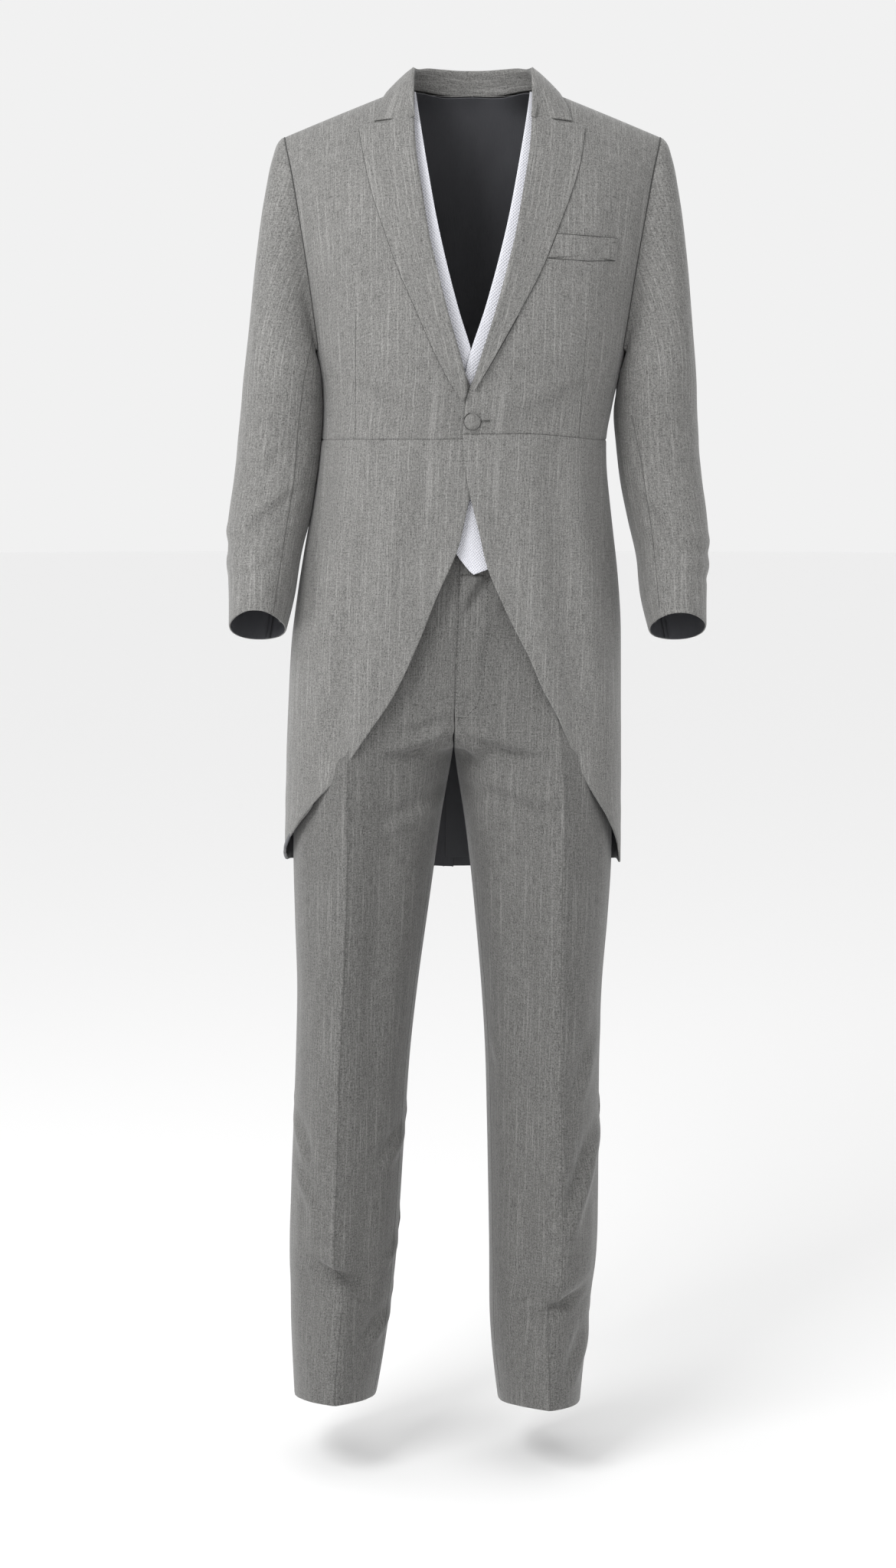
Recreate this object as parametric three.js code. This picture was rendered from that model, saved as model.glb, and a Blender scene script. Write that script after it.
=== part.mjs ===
// Morning suit as worn: cutaway coat, waistcoat and trousers, each panel a thin cloth wall.
// Millimetres. The origin is at the base of the neck, where the shoulders carry the coat.
// +Z is up, the front faces -Y, and the wearer's left is +X.
import * as THREE from 'three';

// Driving dimensions
const WOOL = 1.8;             // coat and trouser cloth with its canvas and lining
const PIQUE = 1.2;            // waistcoat cloth
const SATIN = 1.0;            // tail lining
const LAPEL_THICK = 1.5;
const COLLAR_THICK = 1.6;
const WELT_THICK = 1.2;
const FLY_THICK = 1.2;
const BAND_THICK = 2.4;
const SEAM = 0.3;             // clearance between neighbouring pieces
const CHEST = -285;           // height of the armhole's lowest point
const WAIST = -388;           // height of the coat's waist seam
const MIDDLE = 4;             // depth of the side of the body
const SHOULDER_SLOPE = 0.408;
const NECK_ROUND = 30;        // radius that rounds the shoulder line over the neck
const NECK_HALF = 74;         // half width between the two neck points
const ARCH_FRONT = 2.6;       // how full the chest stays up to the shoulder
const ARCH_BACK = 2.2;
const LAP_DROP = 3.5;         // how far the under front is pressed back where the fronts lap
const WAISTCOAT_INSET = 7;
const BICEP = -318;           // height where the sleeve becomes a plain tube
const FORK = -746;            // lowest point of the crotch seam
const BAND_TOP = -500;
const BAND_FOOT = -540.6;
const HEM_BACK = -913;        // lowest point of the tails, at the centre back
const TAIL_PLEAT = [40, 74];  // half width between the pleats at the waist, and one coat length below
const TAIL_RUN = 525;
const VEST_SIDE = 86;         // angle of the waistcoat's side seam
const VEST_ARM_FOOT = -300;   // lowest point of the waistcoat's armhole
const VEST_FOOT = -514;
const FRONT_BUTTON = { radius: 9, height: 4.6, x: 7, z: -368, out: 1.1 };
const BACK_BUTTON = { radius: 9, height: 4.2, x: 40, z: -384, out: 1.7 };
const CUFF_BUTTON = { radius: 6.5, height: 3, angle: 158, out: 0.9, heights: [-560, -576, -592] };

// Colours and finish
const GREY = { color: 0x96958f, roughness: 0.9, metalness: 0 };
const WHITE = { color: 0xf1f0f4, roughness: 0.85, metalness: 0 };
const DARK = { color: 0x4b4c55, roughness: 0.45, metalness: 0 };

// Smooth lookup through a short table, with no overshoot between its rows
function interpolate(keys, values, at) {
  const last = keys.length - 1;
  const falling = keys[last] < keys[0];
  const key = falling ? keys.map((k) => -k) : keys;
  const want = falling ? -at : at;
  if (want <= key[0]) return values[0];
  if (want >= key[last]) return values[last];
  let i = 0;
  while (want > key[i + 1]) i += 1;
  const slope = (j) => (values[j + 1] - values[j]) / (key[j + 1] - key[j]);
  const tangent = (j) => {
    if (j === 0) return slope(0);
    if (j === last) return slope(last - 1);
    const before = slope(j - 1);
    const after = slope(j);
    return before * after <= 0 ? 0 : (2 * before * after) / (before + after);
  };
  const span = key[i + 1] - key[i];
  const t = (want - key[i]) / span;
  const a = 2 * t ** 3 - 3 * t ** 2 + 1;
  const b = t ** 3 - 2 * t ** 2 + t;
  const c = -2 * t ** 3 + 3 * t ** 2;
  const d = t ** 3 - t ** 2;
  return a * values[i] + b * span * tangent(i) + c * values[i + 1] + d * span * tangent(i + 1);
}

function table(columns, rows) {
  const keys = rows.map((row) => row[0]);
  const lookup = { keys };
  columns.forEach((name, column) => {
    const values = rows.map((row) => row[column]);
    lookup[name] = (at) => interpolate(keys, values, at);
  });
  return lookup;
}

const mix = (a, b, t) => a + (b - a) * t;
const clamp = (value, low, high) => Math.min(high, Math.max(low, value));
const smooth = (from, to, value) => {
  const t = clamp((value - from) / (to - from), 0, 1);
  return t * t * (3 - 2 * t);
};
const radians = (degrees) => (degrees * Math.PI) / 180;
const range = (count) => Array.from({ length: count + 1 }, (_, i) => i / count);

// Coat body: half width, front and back depth of the outer surface at each height, and how square
// its section is, where 2 is an ellipse
const BODY = table(['z', 'half', 'front', 'back', 'square'], [
  [30, 250, -128, 118, 2.4],
  [-45, 240, -129, 122, 2.4],
  [-100, 222, -131, 127, 2.4],
  [-200, 196, -133, 131, 2.4],
  [-285, 180, -131, 128, 2.4],
  [-340, 169.5, -122, 117, 2.4],
  [-388, 166, -113, 107, 2.4],
  [-457, 173, -115, 118, 2.45],
  [-529, 184, -120, 130, 2.6],
  [-620, 193.5, -124, 138, 2.75],
  [-700, 196, -125, 140, 2.8],
  [-788, 197.5, -125, 140, 2.8],
  [-930, 199.5, -126, 142, 2.8],
]);

// The stance leans: how far each height is carried towards +X
const BODY_LEAN = table(['z', 'x'], [
  [40, 13.5], [-200, 12], [-309, 10.5], [-350, 7.5], [-388, 3.5], [-470, 0.5], [-564, -2.5],
  [-651, -6], [-788, -9], [-890, -10], [-1035, -13.4], [-1125, -15.7], [-1235, -18.1],
  [-1352, -20.9], [-1459, -26], [-1550, -28.5],
]);
const ARM_LEAN = table(['z', 'x'], [
  [40, 13.5], [-200, 12], [-290, 11], [-400, 8.5], [-620, 7.5],
]);

// Half widths across the front: the roll line of the lapel, its outer edge and the armhole seams
const ROLL = table(['z', 'x'], [
  [30, 66], [-10, 67], [-63, 64], [-109, 57], [-160, 48], [-202, 37.5], [-251, 24], [-291, 11],
  [-329, 0.5],
]);
const LAPEL_EDGE = table(['z', 'left', 'right'], [
  [-40, 126, 128], [-75, 121.3, 121.5], [-110, 111.5, 113.5], [-158, 94, 97.5], [-203, 76, 81],
  [-245, 54, 62], [-287, 31, 43], [-325, 9.5, 22], [-347, -3, 4.5],
]);
const ARMHOLE = table(['z', 'front', 'back'], [
  [-42, 216, 216], [-51, 214, 215], [-90, 205, 209], [-125, 199, 204], [-160, 193, 199],
  [-203, 186.5, 191], [-250, 180, 183], [-285, 175.5, 175.5],
]);
const SHOULDER_SHARES = [1, 0.985, 0.96, 0.92, 0.86, 0.78, 0.68, 0.56, 0.44, 0.34, 0.16, 0];
const BACK_SEAM_TOP = -203;   // where the curved back seam leaves the armhole

// Edges below the last button, each on its own side: signed angle round the body from the front
const CUTAWAY = {
  right: table(['z', 'angle'], [
    [-388, -4.7], [-420, -4], [-452, -1.6], [-513, 0.4], [-565, 3.9], [-615, 7.3], [-645, 10],
    [-684, 14.9], [-713, 20.6], [-738, 26.3], [-770, 34.7], [-800, 46.4], [-835, 64.4],
    [-858, 79], [-870, 88],
  ]),
  left: table(['z', 'angle'], [
    [-388, -0.3], [-420, 0.2], [-452, 1.5], [-491, 3.7], [-534, 5.8], [-565, 8.8], [-600, 12.9],
    [-634, 18], [-671, 23.1], [-702, 29.4], [-743, 37], [-786, 47], [-826, 61],
    [-852, 71.6], [-880, 81],
  ]),
};
const HEM = table(['angle', 'z'], [
  [78, -888], [90, -885], [105, -890], [130, -901], [165, -911], [180, HEM_BACK],
]);

// Torso surface, before the lean. An inset of 0 is the coat's outer face.
const shoulderHeight = (x) => 5 - SHOULDER_SLOPE * (Math.hypot(x, NECK_ROUND) - 100.6);
const shoulderDepth = (x) => 12 - 0.046 * Math.abs(x);

function torsoDepth(x, z, back, inset) {
  const half = BODY.half(z) - inset;
  const face = back ? BODY.back(z) - inset : BODY.front(z) + inset * 1.3;
  const share = clamp(Math.abs(x) / half, 0, 1);
  const square = BODY.square(z);
  const ring = MIDDLE + (face - MIDDLE) * (1 - share ** square) ** (1 / square);
  if (z <= CHEST) return ring;
  const rise = clamp((z - CHEST) / (shoulderHeight(x) - inset - CHEST), 0, 1);
  const power = back ? ARCH_BACK : ARCH_FRONT;
  const ridge = shoulderDepth(x);
  return ridge + (ring - ridge) * (1 - rise ** power) ** (1 / power);
}

const torsoAtX = (x, z, back, inset = 0) => new THREE.Vector3(x, torsoDepth(x, z, back, inset), z);

function torsoAtAngle(angle, z, inset = 0) {
  const turn = radians(angle);
  const x = (BODY.half(z) - inset) * Math.sign(turn) * Math.abs(Math.sin(turn)) ** (2 / BODY.square(z));
  return torsoAtX(x, z, Math.abs(angle) > 90, inset);
}

function angleAtX(x, z) {
  const share = clamp(x / BODY.half(z), 0, 1);
  return (Math.asin(share ** (BODY.square(z) / 2)) * 180) / Math.PI;
}

// A point of the front or back of the coat, moved out along the surface normal
function lifted(x, z, back, out) {
  const crown = shoulderHeight(x);
  if (z > crown - 1) return new THREE.Vector3(x + 0.35 * out, shoulderDepth(x), crown + out);
  const step = 0.5;
  const here = torsoAtX(x, z, back);
  const across = torsoAtX(x + step, z, back).sub(here);
  const up = torsoAtX(x, z + step, back).sub(here);
  const normal = across.cross(up).normalize();
  if (back) normal.negate();
  return here.addScaledVector(normal, out);
}

// Where the under front passes behind the upper one it is pressed back
const lapDrop = (x, z) => LAP_DROP * (1 - smooth(8, 26, x)) * smooth(-505, -462, z);

// Armhole loop, from the shoulder point down the front, under the arm and up the back
function armholeLoop() {
  const rise = (x, share) => CHEST + (shoulderHeight(x) - CHEST) * share;
  const seek = (column, share) => {
    let x = 216;
    for (let i = 0; i < 30; i += 1) x = ARMHOLE[column](rise(x, share));
    return [x, rise(x, share)];
  };
  const front = SHOULDER_SHARES.map((share) => {
    const [x, z] = seek('front', share);
    return { share, x, z, back: false, angle: angleAtX(x, z) };
  });
  const under = [84, 90, 96].map((angle) => {
    const z = CHEST - 3 * Math.sin(radians((angle - 76) * 6.4));
    return { angle, z, under: true, back: angle > 90 };
  });
  const back = [...SHOULDER_SHARES].reverse().map((share) => {
    const [x, z] = seek('back', share);
    return { share, x, z, back: true, angle: 180 - angleAtX(x, z) };
  });
  return [...front, ...under, ...back].map((place) => ({
    ...place,
    point: place.under ? torsoAtAngle(place.angle, place.z) : torsoAtX(place.x, place.z, place.back),
  }));
}
const LOOP = armholeLoop();
const LOOP_FRONT = LOOP.filter((place) => !place.back && !place.under);
const LOOP_BACK = LOOP.filter((place) => place.back && !place.under);
const LOOP_SIDE = LOOP.filter(({ z, back, under, share }) => (
  z <= BACK_SEAM_TOP + 4 && (back || under || share === 0)));

// Cloth walls: a grid of outer points and the same grid moved in along its normals.
// An edge that meets its neighbour on a flat plane is squared: its normals lie in that plane.
function gridNormals(grid, axis, squared) {
  const rows = grid.length;
  const columns = grid[0].length;
  let vote = 0;
  const normals = grid.map((row, i) => row.map((point, j) => {
    const down = grid[Math.min(i + 1, rows - 1)][j].clone().sub(grid[Math.max(i - 1, 0)][j]);
    const across = row[Math.min(j + 1, columns - 1)].clone().sub(row[Math.max(j - 1, 0)]);
    const normal = across.cross(down).normalize();
    vote += normal.x * (point.x - axis[0]) + normal.y * (point.y - axis[1]);
    return normal;
  }));
  const sign = vote < 0 ? -1 : 1;
  normals.forEach((row, i) => row.forEach((normal, j) => {
    const plane = squared(i, j, rows - 1, columns - 1, grid[i][j]);
    if (plane) normal[plane] = 0;
    normal.normalize().multiplyScalar(sign);
  }));
  return { normals, sign };
}

const nodes = new THREE.Group();

function addMesh(name, geometry, finish) {
  const mesh = new THREE.Mesh(geometry, new THREE.MeshStandardMaterial(finish));
  mesh.name = name;
  nodes.add(mesh);
  return mesh;
}

const DEFAULTS = { axis: [0, 0], lean: BODY_LEAN, squared: () => null, spare: false };

function wall(name, fullGrid, thickness, finish, options = {}) {
  const { axis, lean, squared, spare } = { ...DEFAULTS, ...options };
  const shape = gridNormals(fullGrid, axis, squared);
  const keep = (row) => (spare ? row.slice(1, -1) : row);
  const grid = fullGrid.map(keep);
  const rows = grid.length;
  const columns = grid[0].length;
  const { sign } = shape;
  const outer = grid.flat();
  const inner = shape.normals.map(keep).flat().map((n, k) => outer[k].clone().addScaledVector(n, -thickness));
  const positions = [...outer, ...inner].flatMap((p) => [p.x + lean.x(p.z), p.y, p.z]);
  const at = (i, j) => i * columns + j;
  const below = outer.length;
  const faces = [];
  const quad = (a, b, c, d) => faces.push([a, b, c], [a, c, d]);
  for (let i = 0; i < rows - 1; i += 1) {
    for (let j = 0; j < columns - 1; j += 1) {
      const [a, b, c, d] = [at(i, j), at(i, j + 1), at(i + 1, j + 1), at(i + 1, j)];
      quad(a, b, c, d);
      quad(a + below, d + below, c + below, b + below);
    }
  }
  const edge = [];
  for (let j = 0; j < columns - 1; j += 1) edge.push(at(0, j));
  for (let i = 0; i < rows - 1; i += 1) edge.push(at(i, columns - 1));
  for (let j = columns - 1; j > 0; j -= 1) edge.push(at(rows - 1, j));
  for (let i = rows - 1; i > 0; i -= 1) edge.push(at(i, 0));
  edge.forEach((a, k) => {
    const b = edge[(k + 1) % edge.length];
    quad(b, a, a + below, b + below);
  });
  const geometry = new THREE.BufferGeometry();
  geometry.setAttribute('position', new THREE.Float32BufferAttribute(positions, 3));
  geometry.setIndex(faces.flatMap(([a, b, c]) => (sign > 0 ? [a, b, c] : [a, c, b])));
  geometry.computeVertexNormals();
  return addMesh(name, geometry, finish);
}

const mirror = (grid, side) => grid.map((row) => row.map((p) => new THREE.Vector3(p.x * side, p.y, p.z)));

const SIDES = [
  { name: 'left', side: 1 },
  { name: 'right', side: -1 },
];

// Front edge of each forepart above the waist seam, on its own side
function foreEdge(z, name) {
  if (z > -30) return mix(66.5, NECK_HALF, smooth(-30, 12, z));
  const meets = name === 'left' ? -2.5 : -19;
  const drop = name === 'left' ? smooth(-318, -350, z) : smooth(-318, -366, z);
  return mix(ROLL.x(z), meets, drop);
}

// The left front's waist seam arches up a little before it reaches the side
const waistArch = (x, name) => (name === 'left' ? 6 * (1 - smooth(75, 160, x)) : 0);

// Shares that crowd towards the side, where the surface turns away
const spread = (u, reach) => Math.sin(radians(reach * u)) / Math.sin(radians(reach));

function forepart(name) {
  const pressed = (x, z) => {
    if (name === 'left' || x > 30) return torsoAtX(x, z, false);
    return lifted(x, z, false, -lapDrop(x, z));
  };
  const upper = LOOP_FRONT.map(({ share, x: outer }) => range(10).map((u) => {
    let x = ROLL.x(CHEST);
    let z = CHEST;
    for (let i = 0; i < 12; i += 1) {
      x = mix(foreEdge(z, name), outer, spread(u, 78));
      z = CHEST + (shoulderHeight(x) - CHEST) * share;
    }
    const point = pressed(x, z);
    if (share === 1) point.y -= SEAM / 2;
    return point;
  }));
  const lower = [-300, -314, -329, -346, -366, WAIST + SEAM].map((z) => {
    const outer = torsoAtAngle(mix(76, 70, (CHEST - z) / (CHEST - WAIST)), z).x;
    return range(10).map((u) => {
      const x = mix(foreEdge(z, name), outer, spread(u, 78));
      return pressed(x, z + waistArch(x, name) * smooth(-320, WAIST, z));
    });
  });
  return [...upper, ...lower];
}

// Curved seam between the sidebody and the back, as an angle round the body
function backSeamAngle(z) {
  const t = clamp((BACK_SEAM_TOP - z) / (BACK_SEAM_TOP - WAIST), 0, 1);
  return mix(LOOP_SIDE[LOOP_SIDE.length - 1].angle, 169.5, 1 - (1 - t) ** 1.6);
}

// Heights shared by the two pieces along that seam
const SEAM_ROWS = range(7).map((v) => mix(LOOP_SIDE[LOOP_SIDE.length - 1].z, WAIST + SEAM, v));

function sidebody() {
  const foot = WAIST + SEAM;
  const last = LOOP_SIDE.length - 1;
  const frontSeam = (z) => mix(76, 70, clamp((CHEST - z) / (CHEST - WAIST), 0, 1)) + 0.25;
  const backSeam = (z) => backSeamAngle(z) - 0.25;
  return range(7).map((v) => LOOP_SIDE.map((place, j) => {
    const u = j / last;
    const z = mix(place.z, foot, v);
    const bulge = place.angle - mix(frontSeam(place.z), backSeam(place.z), u);
    const inside = j === 0 || j === last ? 0 : bulge * (1 - v) ** 1.5;
    return torsoAtAngle(mix(frontSeam(z), backSeam(z), u) + inside, z);
  }));
}

// Half width between the pleats of the tail
const pleatHalf = (z) => mix(TAIL_PLEAT[0], TAIL_PLEAT[1], (WAIST - z) / TAIL_RUN);

// Half width of the back panel: the curved seam, then the pleat of the tail
function backEdge(z) {
  if (z > WAIST) return torsoAtAngle(backSeamAngle(z) + 0.12, z).x;
  return pleatHalf(z) - 0.4;
}

function backPanel() {
  const columns = range(8);
  const high = LOOP_BACK.filter((place) => place.z > BACK_SEAM_TOP - 4).reverse();
  const upper = high.map(({ share, x: outer }) => columns.map((u) => {
    const x = mix(0.2, outer, u);
    const neck = 0.93 + 0.07 * Math.min(1, x / NECK_HALF) ** 2;
    const point = torsoAtX(x, CHEST + (shoulderHeight(x) - CHEST) * share * neck, true);
    if (share === 1) point.y += SEAM / 2;
    return point;
  }));
  const lower = [...SEAM_ROWS.slice(1), -450, -530, -620, -740, -840].map((z) => (
    columns.map((u) => torsoAtX(mix(0.2, backEdge(z), u), z, true))));
  const foot = backEdge(HEM_BACK);
  const hem = columns.map((u) => torsoAtX(mix(0.2, foot, u), mix(HEM_BACK, HEM_BACK + 3, u), true));
  return [...upper, ...lower, hem];
}

function skirt(name) {
  const edge = CUTAWAY[name];
  const corner = edge.keys[edge.keys.length - 1];
  const pleat = (z) => 180 - angleAtX(pleatHalf(z) + 0.4, z);
  const heights = [WAIST - SEAM, ...edge.keys.slice(1)];
  return heights.map((height) => {
    const run = (height - WAIST) / (corner - WAIST);
    const start = edge.angle(height);
    return range(12).map((u) => {
      const foot = mix(corner, HEM.z(mix(start, 165, u)), smooth(0, 0.09, u));
      const level = mix(WAIST - SEAM, foot, run);
      const angle = mix(start, pleat(level), u);
      const across = torsoAtAngle(Math.min(angle, 90), level).x;
      const arch = waistArch(across, name) * (1 - smooth(0, 0.2, run));
      const z = level + arch;
      if (name === 'left' || angle > 12) return torsoAtAngle(angle, z);
      const base = torsoAtAngle(angle, z);
      return lifted(base.x, z, false, -lapDrop(base.x, z));
    });
  });
}

// Lining that shows between the legs, on the inner face of the back tails
function tailLining() {
  const tail = backPanel().filter((row) => row[0].z < WAIST - 5);
  const hem = tail.pop();
  tail.push(hem.map((point, j) => point.clone().lerp(tail[tail.length - 1][j], 0.16)));
  return tail.map((row) => row.map((point) => point.clone().setY(point.y - WOOL - 0.5)));
}

// Lapel: a rolled flap lying on the forepart, peaked at its top edge
function lapel(name) {
  const lowest = name === 'left' ? -334 : -346;
  const innermost = name === 'left' ? 0.8 : 3.6;
  return range(14).map((v) => {
    const inside = mix(-36, lowest + 6, v);
    const outside = mix(-40, lowest, v);
    return range(5).map((u) => {
      const z = mix(inside, outside, u);
      const roll = Math.max(ROLL.x(z) - 1, innermost);
      const outer = Math.max(LAPEL_EDGE[name](z), roll + 1.5);
      return lifted(mix(roll, outer, u), z, false, 2.6 + 3.2 * (1 - u) ** 2);
    });
  });
}

// Collar: seam on the neck, fold line standing round the neck, and outer edge lying on the coat.
// A negative way is the front of the body, a positive one its back.
const COLLAR = [
  { way: -1, seamX: 69, seamZ: -33, foldX: 66, foldRise: 2, edgeX: 111, edgeZ: -33.5 },
  { way: -1, seamX: 71, seamZ: -14, foldX: 66.5, foldRise: 10, edgeX: 107, edgeZ: -19 },
  { way: -1, seamX: 73, seamZ: 2, foldX: 66.5, foldRise: 14.5, edgeX: 102, edgeZ: -7 },
  { way: -1, seamX: 74, seamZ: 10.5, foldX: 66, foldRise: 17, edgeX: 98.5, edgeZ: 1.5 },
  { way: 0, seamX: 74, seamZ: 14, foldX: 65, foldRise: 18, edgeX: 96, edgeZ: 8 },
  { way: 1, seamX: 73, seamZ: 12.4, foldX: 63.5, foldRise: 20.5, edgeX: 94.5, edgeZ: 2.6 },
  { way: 1, seamX: 70, seamZ: 11, foldX: 60, foldRise: 22.5, edgeX: 90, edgeZ: -4 },
  { way: 1, seamX: 58, seamZ: 11, foldX: 51, foldRise: 25, edgeX: 76, edgeZ: -8 },
  { way: 1, seamX: 36, seamZ: 9, foldX: 33, foldRise: 28, edgeX: 50, edgeZ: -11 },
  { way: 1, seamX: 17, seamZ: 7.4, foldX: 16, foldRise: 29.5, edgeX: 25, edgeZ: -12.5 },
  { way: 1, seamX: 0, seamZ: 7, foldX: 0, foldRise: 30, edgeX: 0, edgeZ: -13 },
];

function collar() {
  const half = COLLAR.map((row) => {
    const back = row.way > 0;
    const seam = lifted(row.seamX, row.seamZ, back, 4.2);
    const fold = new THREE.Vector3(row.foldX, seam.y - 2.5 * row.way, seam.z + row.foldRise);
    const edge = lifted(row.edgeX, row.edgeZ, back, 3.6);
    const away = edge.clone().sub(fold).setZ(0).normalize();
    const crest = fold.clone().addScaledVector(away, 2).add(new THREE.Vector3(0, 0, 1.2));
    const turn = fold.clone().addScaledVector(away, 4.6).add(new THREE.Vector3(0, 0, -0.6));
    const belly = turn.clone().lerp(edge, 0.5).addScaledVector(away, 0.6).add(new THREE.Vector3(0, 0, 0.6));
    return [seam, seam.clone().lerp(fold, 0.6), fold, crest, turn, belly, edge];
  });
  return [...mirror(half, 1), ...mirror(half.slice(0, -1).reverse(), -1)];
}

// Breast welt on the wearer's left front
function breastWelt() {
  return range(2).map((v) => range(6).map((u) => {
    const top = mix(-161, -164, u);
    const foot = mix(-187.5, -188, u) + 2.5 * Math.sin(Math.PI * u);
    const z = mix(top, foot, v);
    return lifted(mix(LAPEL_EDGE.left(z) + 0.8, mix(164, 161, v), u), z, false, 1.7);
  }));
}

// Sleeve tube below the bicep: centre, half width, half depth, and how far its rings tip forward
const SLEEVE = table(['z', 'centre', 'half', 'depth', 'middle', 'tip'], [
  [-318, 216.5, 46.5, 66, -2, 0],
  [-351, 218, 47.5, 64, 2, 0],
  [-395, 221.5, 48, 61, 6, 0.06],
  [-436, 226, 47.5, 58, 2, 0.16],
  [-475, 232.3, 46, 56, -9, 0.28],
  [-521, 238.3, 42, 54, -26, 0.32],
  [-562, 238.3, 38.5, 52, -43, 0.34],
  [-604, 242.5, 33, 50, -60, 0.34],
]);

const SLEEVE_HEIGHTS = SLEEVE.keys;
const CAP_SHARES = [0, 0.1, 0.24, 0.42, 0.62, 0.82];

// The inner side of the sleeve lies just clear of the body, which leans a little apart from the arm
function sleeveRing(phi, z, side) {
  const turn = radians(phi);
  const power = 2 / 2.2;
  const round = (value) => Math.sign(value) * Math.abs(value) ** power;
  const y = SLEEVE.middle(z) - SLEEVE.depth(z) * round(Math.cos(turn));
  const height = z - SLEEVE.tip(z) * (y - SLEEVE.middle(z));
  const free = SLEEVE.centre(z) + SLEEVE.half(z) * round(Math.sin(turn));
  const face = y > MIDDLE ? BODY.back(height) : BODY.front(height);
  const share = clamp(Math.abs((y - MIDDLE) / (face - MIDDLE)), 0, 1);
  const square = BODY.square(height);
  const body = BODY.half(height) * (1 - share ** square) ** (1 / square);
  const drift = side < 0 ? ARM_LEAN.x(height) - BODY_LEAN.x(height) : 0;
  return new THREE.Vector3(Math.max(free, body + drift + 3.4), y, height);
}

// Angle of the sleeve ring that each point of the armhole runs to
function loopAngles() {
  const lengths = [0];
  LOOP.forEach((place, i) => {
    if (i > 0) lengths.push(lengths[i - 1] + place.point.distanceTo(LOOP[i - 1].point));
  });
  const bottom = LOOP.findIndex((place) => place.under && place.angle === 90);
  const total = lengths[lengths.length - 1];
  return lengths.map((length, i) => {
    if (i <= bottom) return 90 - (180 * length) / lengths[bottom];
    return -90 - (180 * (length - lengths[bottom])) / (total - lengths[bottom]);
  });
}
const ANGLES = loopAngles();

// One line down the sleeve: a curve over the cap from the armhole, then the tube's rings
function sleeveLine(index, side) {
  const start = LOOP[index].point.clone();
  const phi = ANGLES[index];
  const end = sleeveRing(phi, BICEP, side);
  const up = Math.sin(radians(phi));
  const low = Math.max(0, -up);
  const out = new THREE.Vector3(1, -0.3 * Math.cos(radians(phi)), -0.14 + 0.62 * low * low).normalize();
  start.addScaledVector(out, 0.6);
  const first = start.clone().addScaledVector(out, 21 - 14 * low);
  const reach = start.distanceTo(end);
  const rise = (0.47 - 0.05 * low) * reach;
  const second = end.clone().add(new THREE.Vector3(-0.12 * Math.max(0, up) * rise, 0, rise));
  const curve = new THREE.CubicBezierCurve3(start, first, second, end);
  const cap = CAP_SHARES.map((t) => curve.getPoint(t));
  const tube = SLEEVE_HEIGHTS.map((z) => sleeveRing(phi, z, side));
  return [...cap, ...tube];
}

const FRONT_SEAM = 10;        // loop places where the two sleeve pieces meet
const BACK_SEAM = 17;

// Each piece carries a spare line past both seams, which only shapes the normals there
function sleevePiece(indices, side) {
  const lines = indices.map((index) => sleeveLine(index, side));
  const last = lines.length - 2;
  return lines[0].map((_, i) => lines.map((line, j) => {
    if (j === 1) return line[i].clone().lerp(lines[2][i], 0.014);
    if (j === last) return line[i].clone().lerp(lines[last - 1][i], 0.014);
    return line[i];
  }));
}

function sleeves() {
  const total = LOOP.length;
  const topIndices = [];
  for (let i = BACK_SEAM - 1; i < total; i += 1) topIndices.push(i);
  for (let i = 1; i <= FRONT_SEAM + 1; i += 1) topIndices.push(i);
  const underIndices = [];
  for (let i = FRONT_SEAM - 1; i <= BACK_SEAM + 1; i += 1) underIndices.push(i);
  SIDES.forEach(({ name, side }) => {
    const options = { axis: [220 * side, 0], lean: ARM_LEAN, spare: true };
    const top = sleevePiece(topIndices, side);
    const under = sleevePiece(underIndices, side);
    wall(`coat_topsleeve_${name}`, mirror(top, side), WOOL, GREY, options);
    wall(`coat_undersleeve_${name}`, mirror(under, side), WOOL, GREY, options);
  });
}

// Covered buttons: a low dome turned to face out of the cloth
function button(name, centre, normal, radius, height, lean) {
  const profile = [
    [0, 0], [radius * 0.85, 0], [radius, height * 0.4], [radius * 0.7, height * 0.92], [0, height],
  ].map(([x, y]) => new THREE.Vector2(x, y));
  const mesh = addMesh(name, new THREE.LatheGeometry(profile, 12), GREY);
  mesh.quaternion.setFromUnitVectors(new THREE.Vector3(0, 1, 0), normal);
  mesh.position.copy(centre).add(new THREE.Vector3(lean.x(centre.z), 0, 0));
}

function torsoButton(name, side, back, { radius, height, x, z, out }) {
  const near = lifted(x, z, back, 0);
  const centre = lifted(x, z, back, out);
  const normal = centre.clone().sub(near).normalize();
  centre.x *= side;
  normal.x *= side;
  button(name, centre, normal, radius, height, BODY_LEAN);
}

function cuffButtons() {
  const { radius, height, angle, out, heights } = CUFF_BUTTON;
  heights.forEach((z, i) => SIDES.forEach(({ name, side }) => {
    const at = sleeveRing(angle, z, side);
    const next = sleeveRing(angle + 1, z, side).sub(at);
    const down = sleeveRing(angle, z - 1, side).sub(at);
    const normal = next.cross(down).normalize();
    if (normal.y < 0) normal.negate();
    at.addScaledVector(normal, out);
    at.x *= side;
    normal.x *= side;
    button(`coat_cuff_button_${i + 1}_${name}`, at, normal, radius, height, ARM_LEAN);
  }));
}

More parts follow.
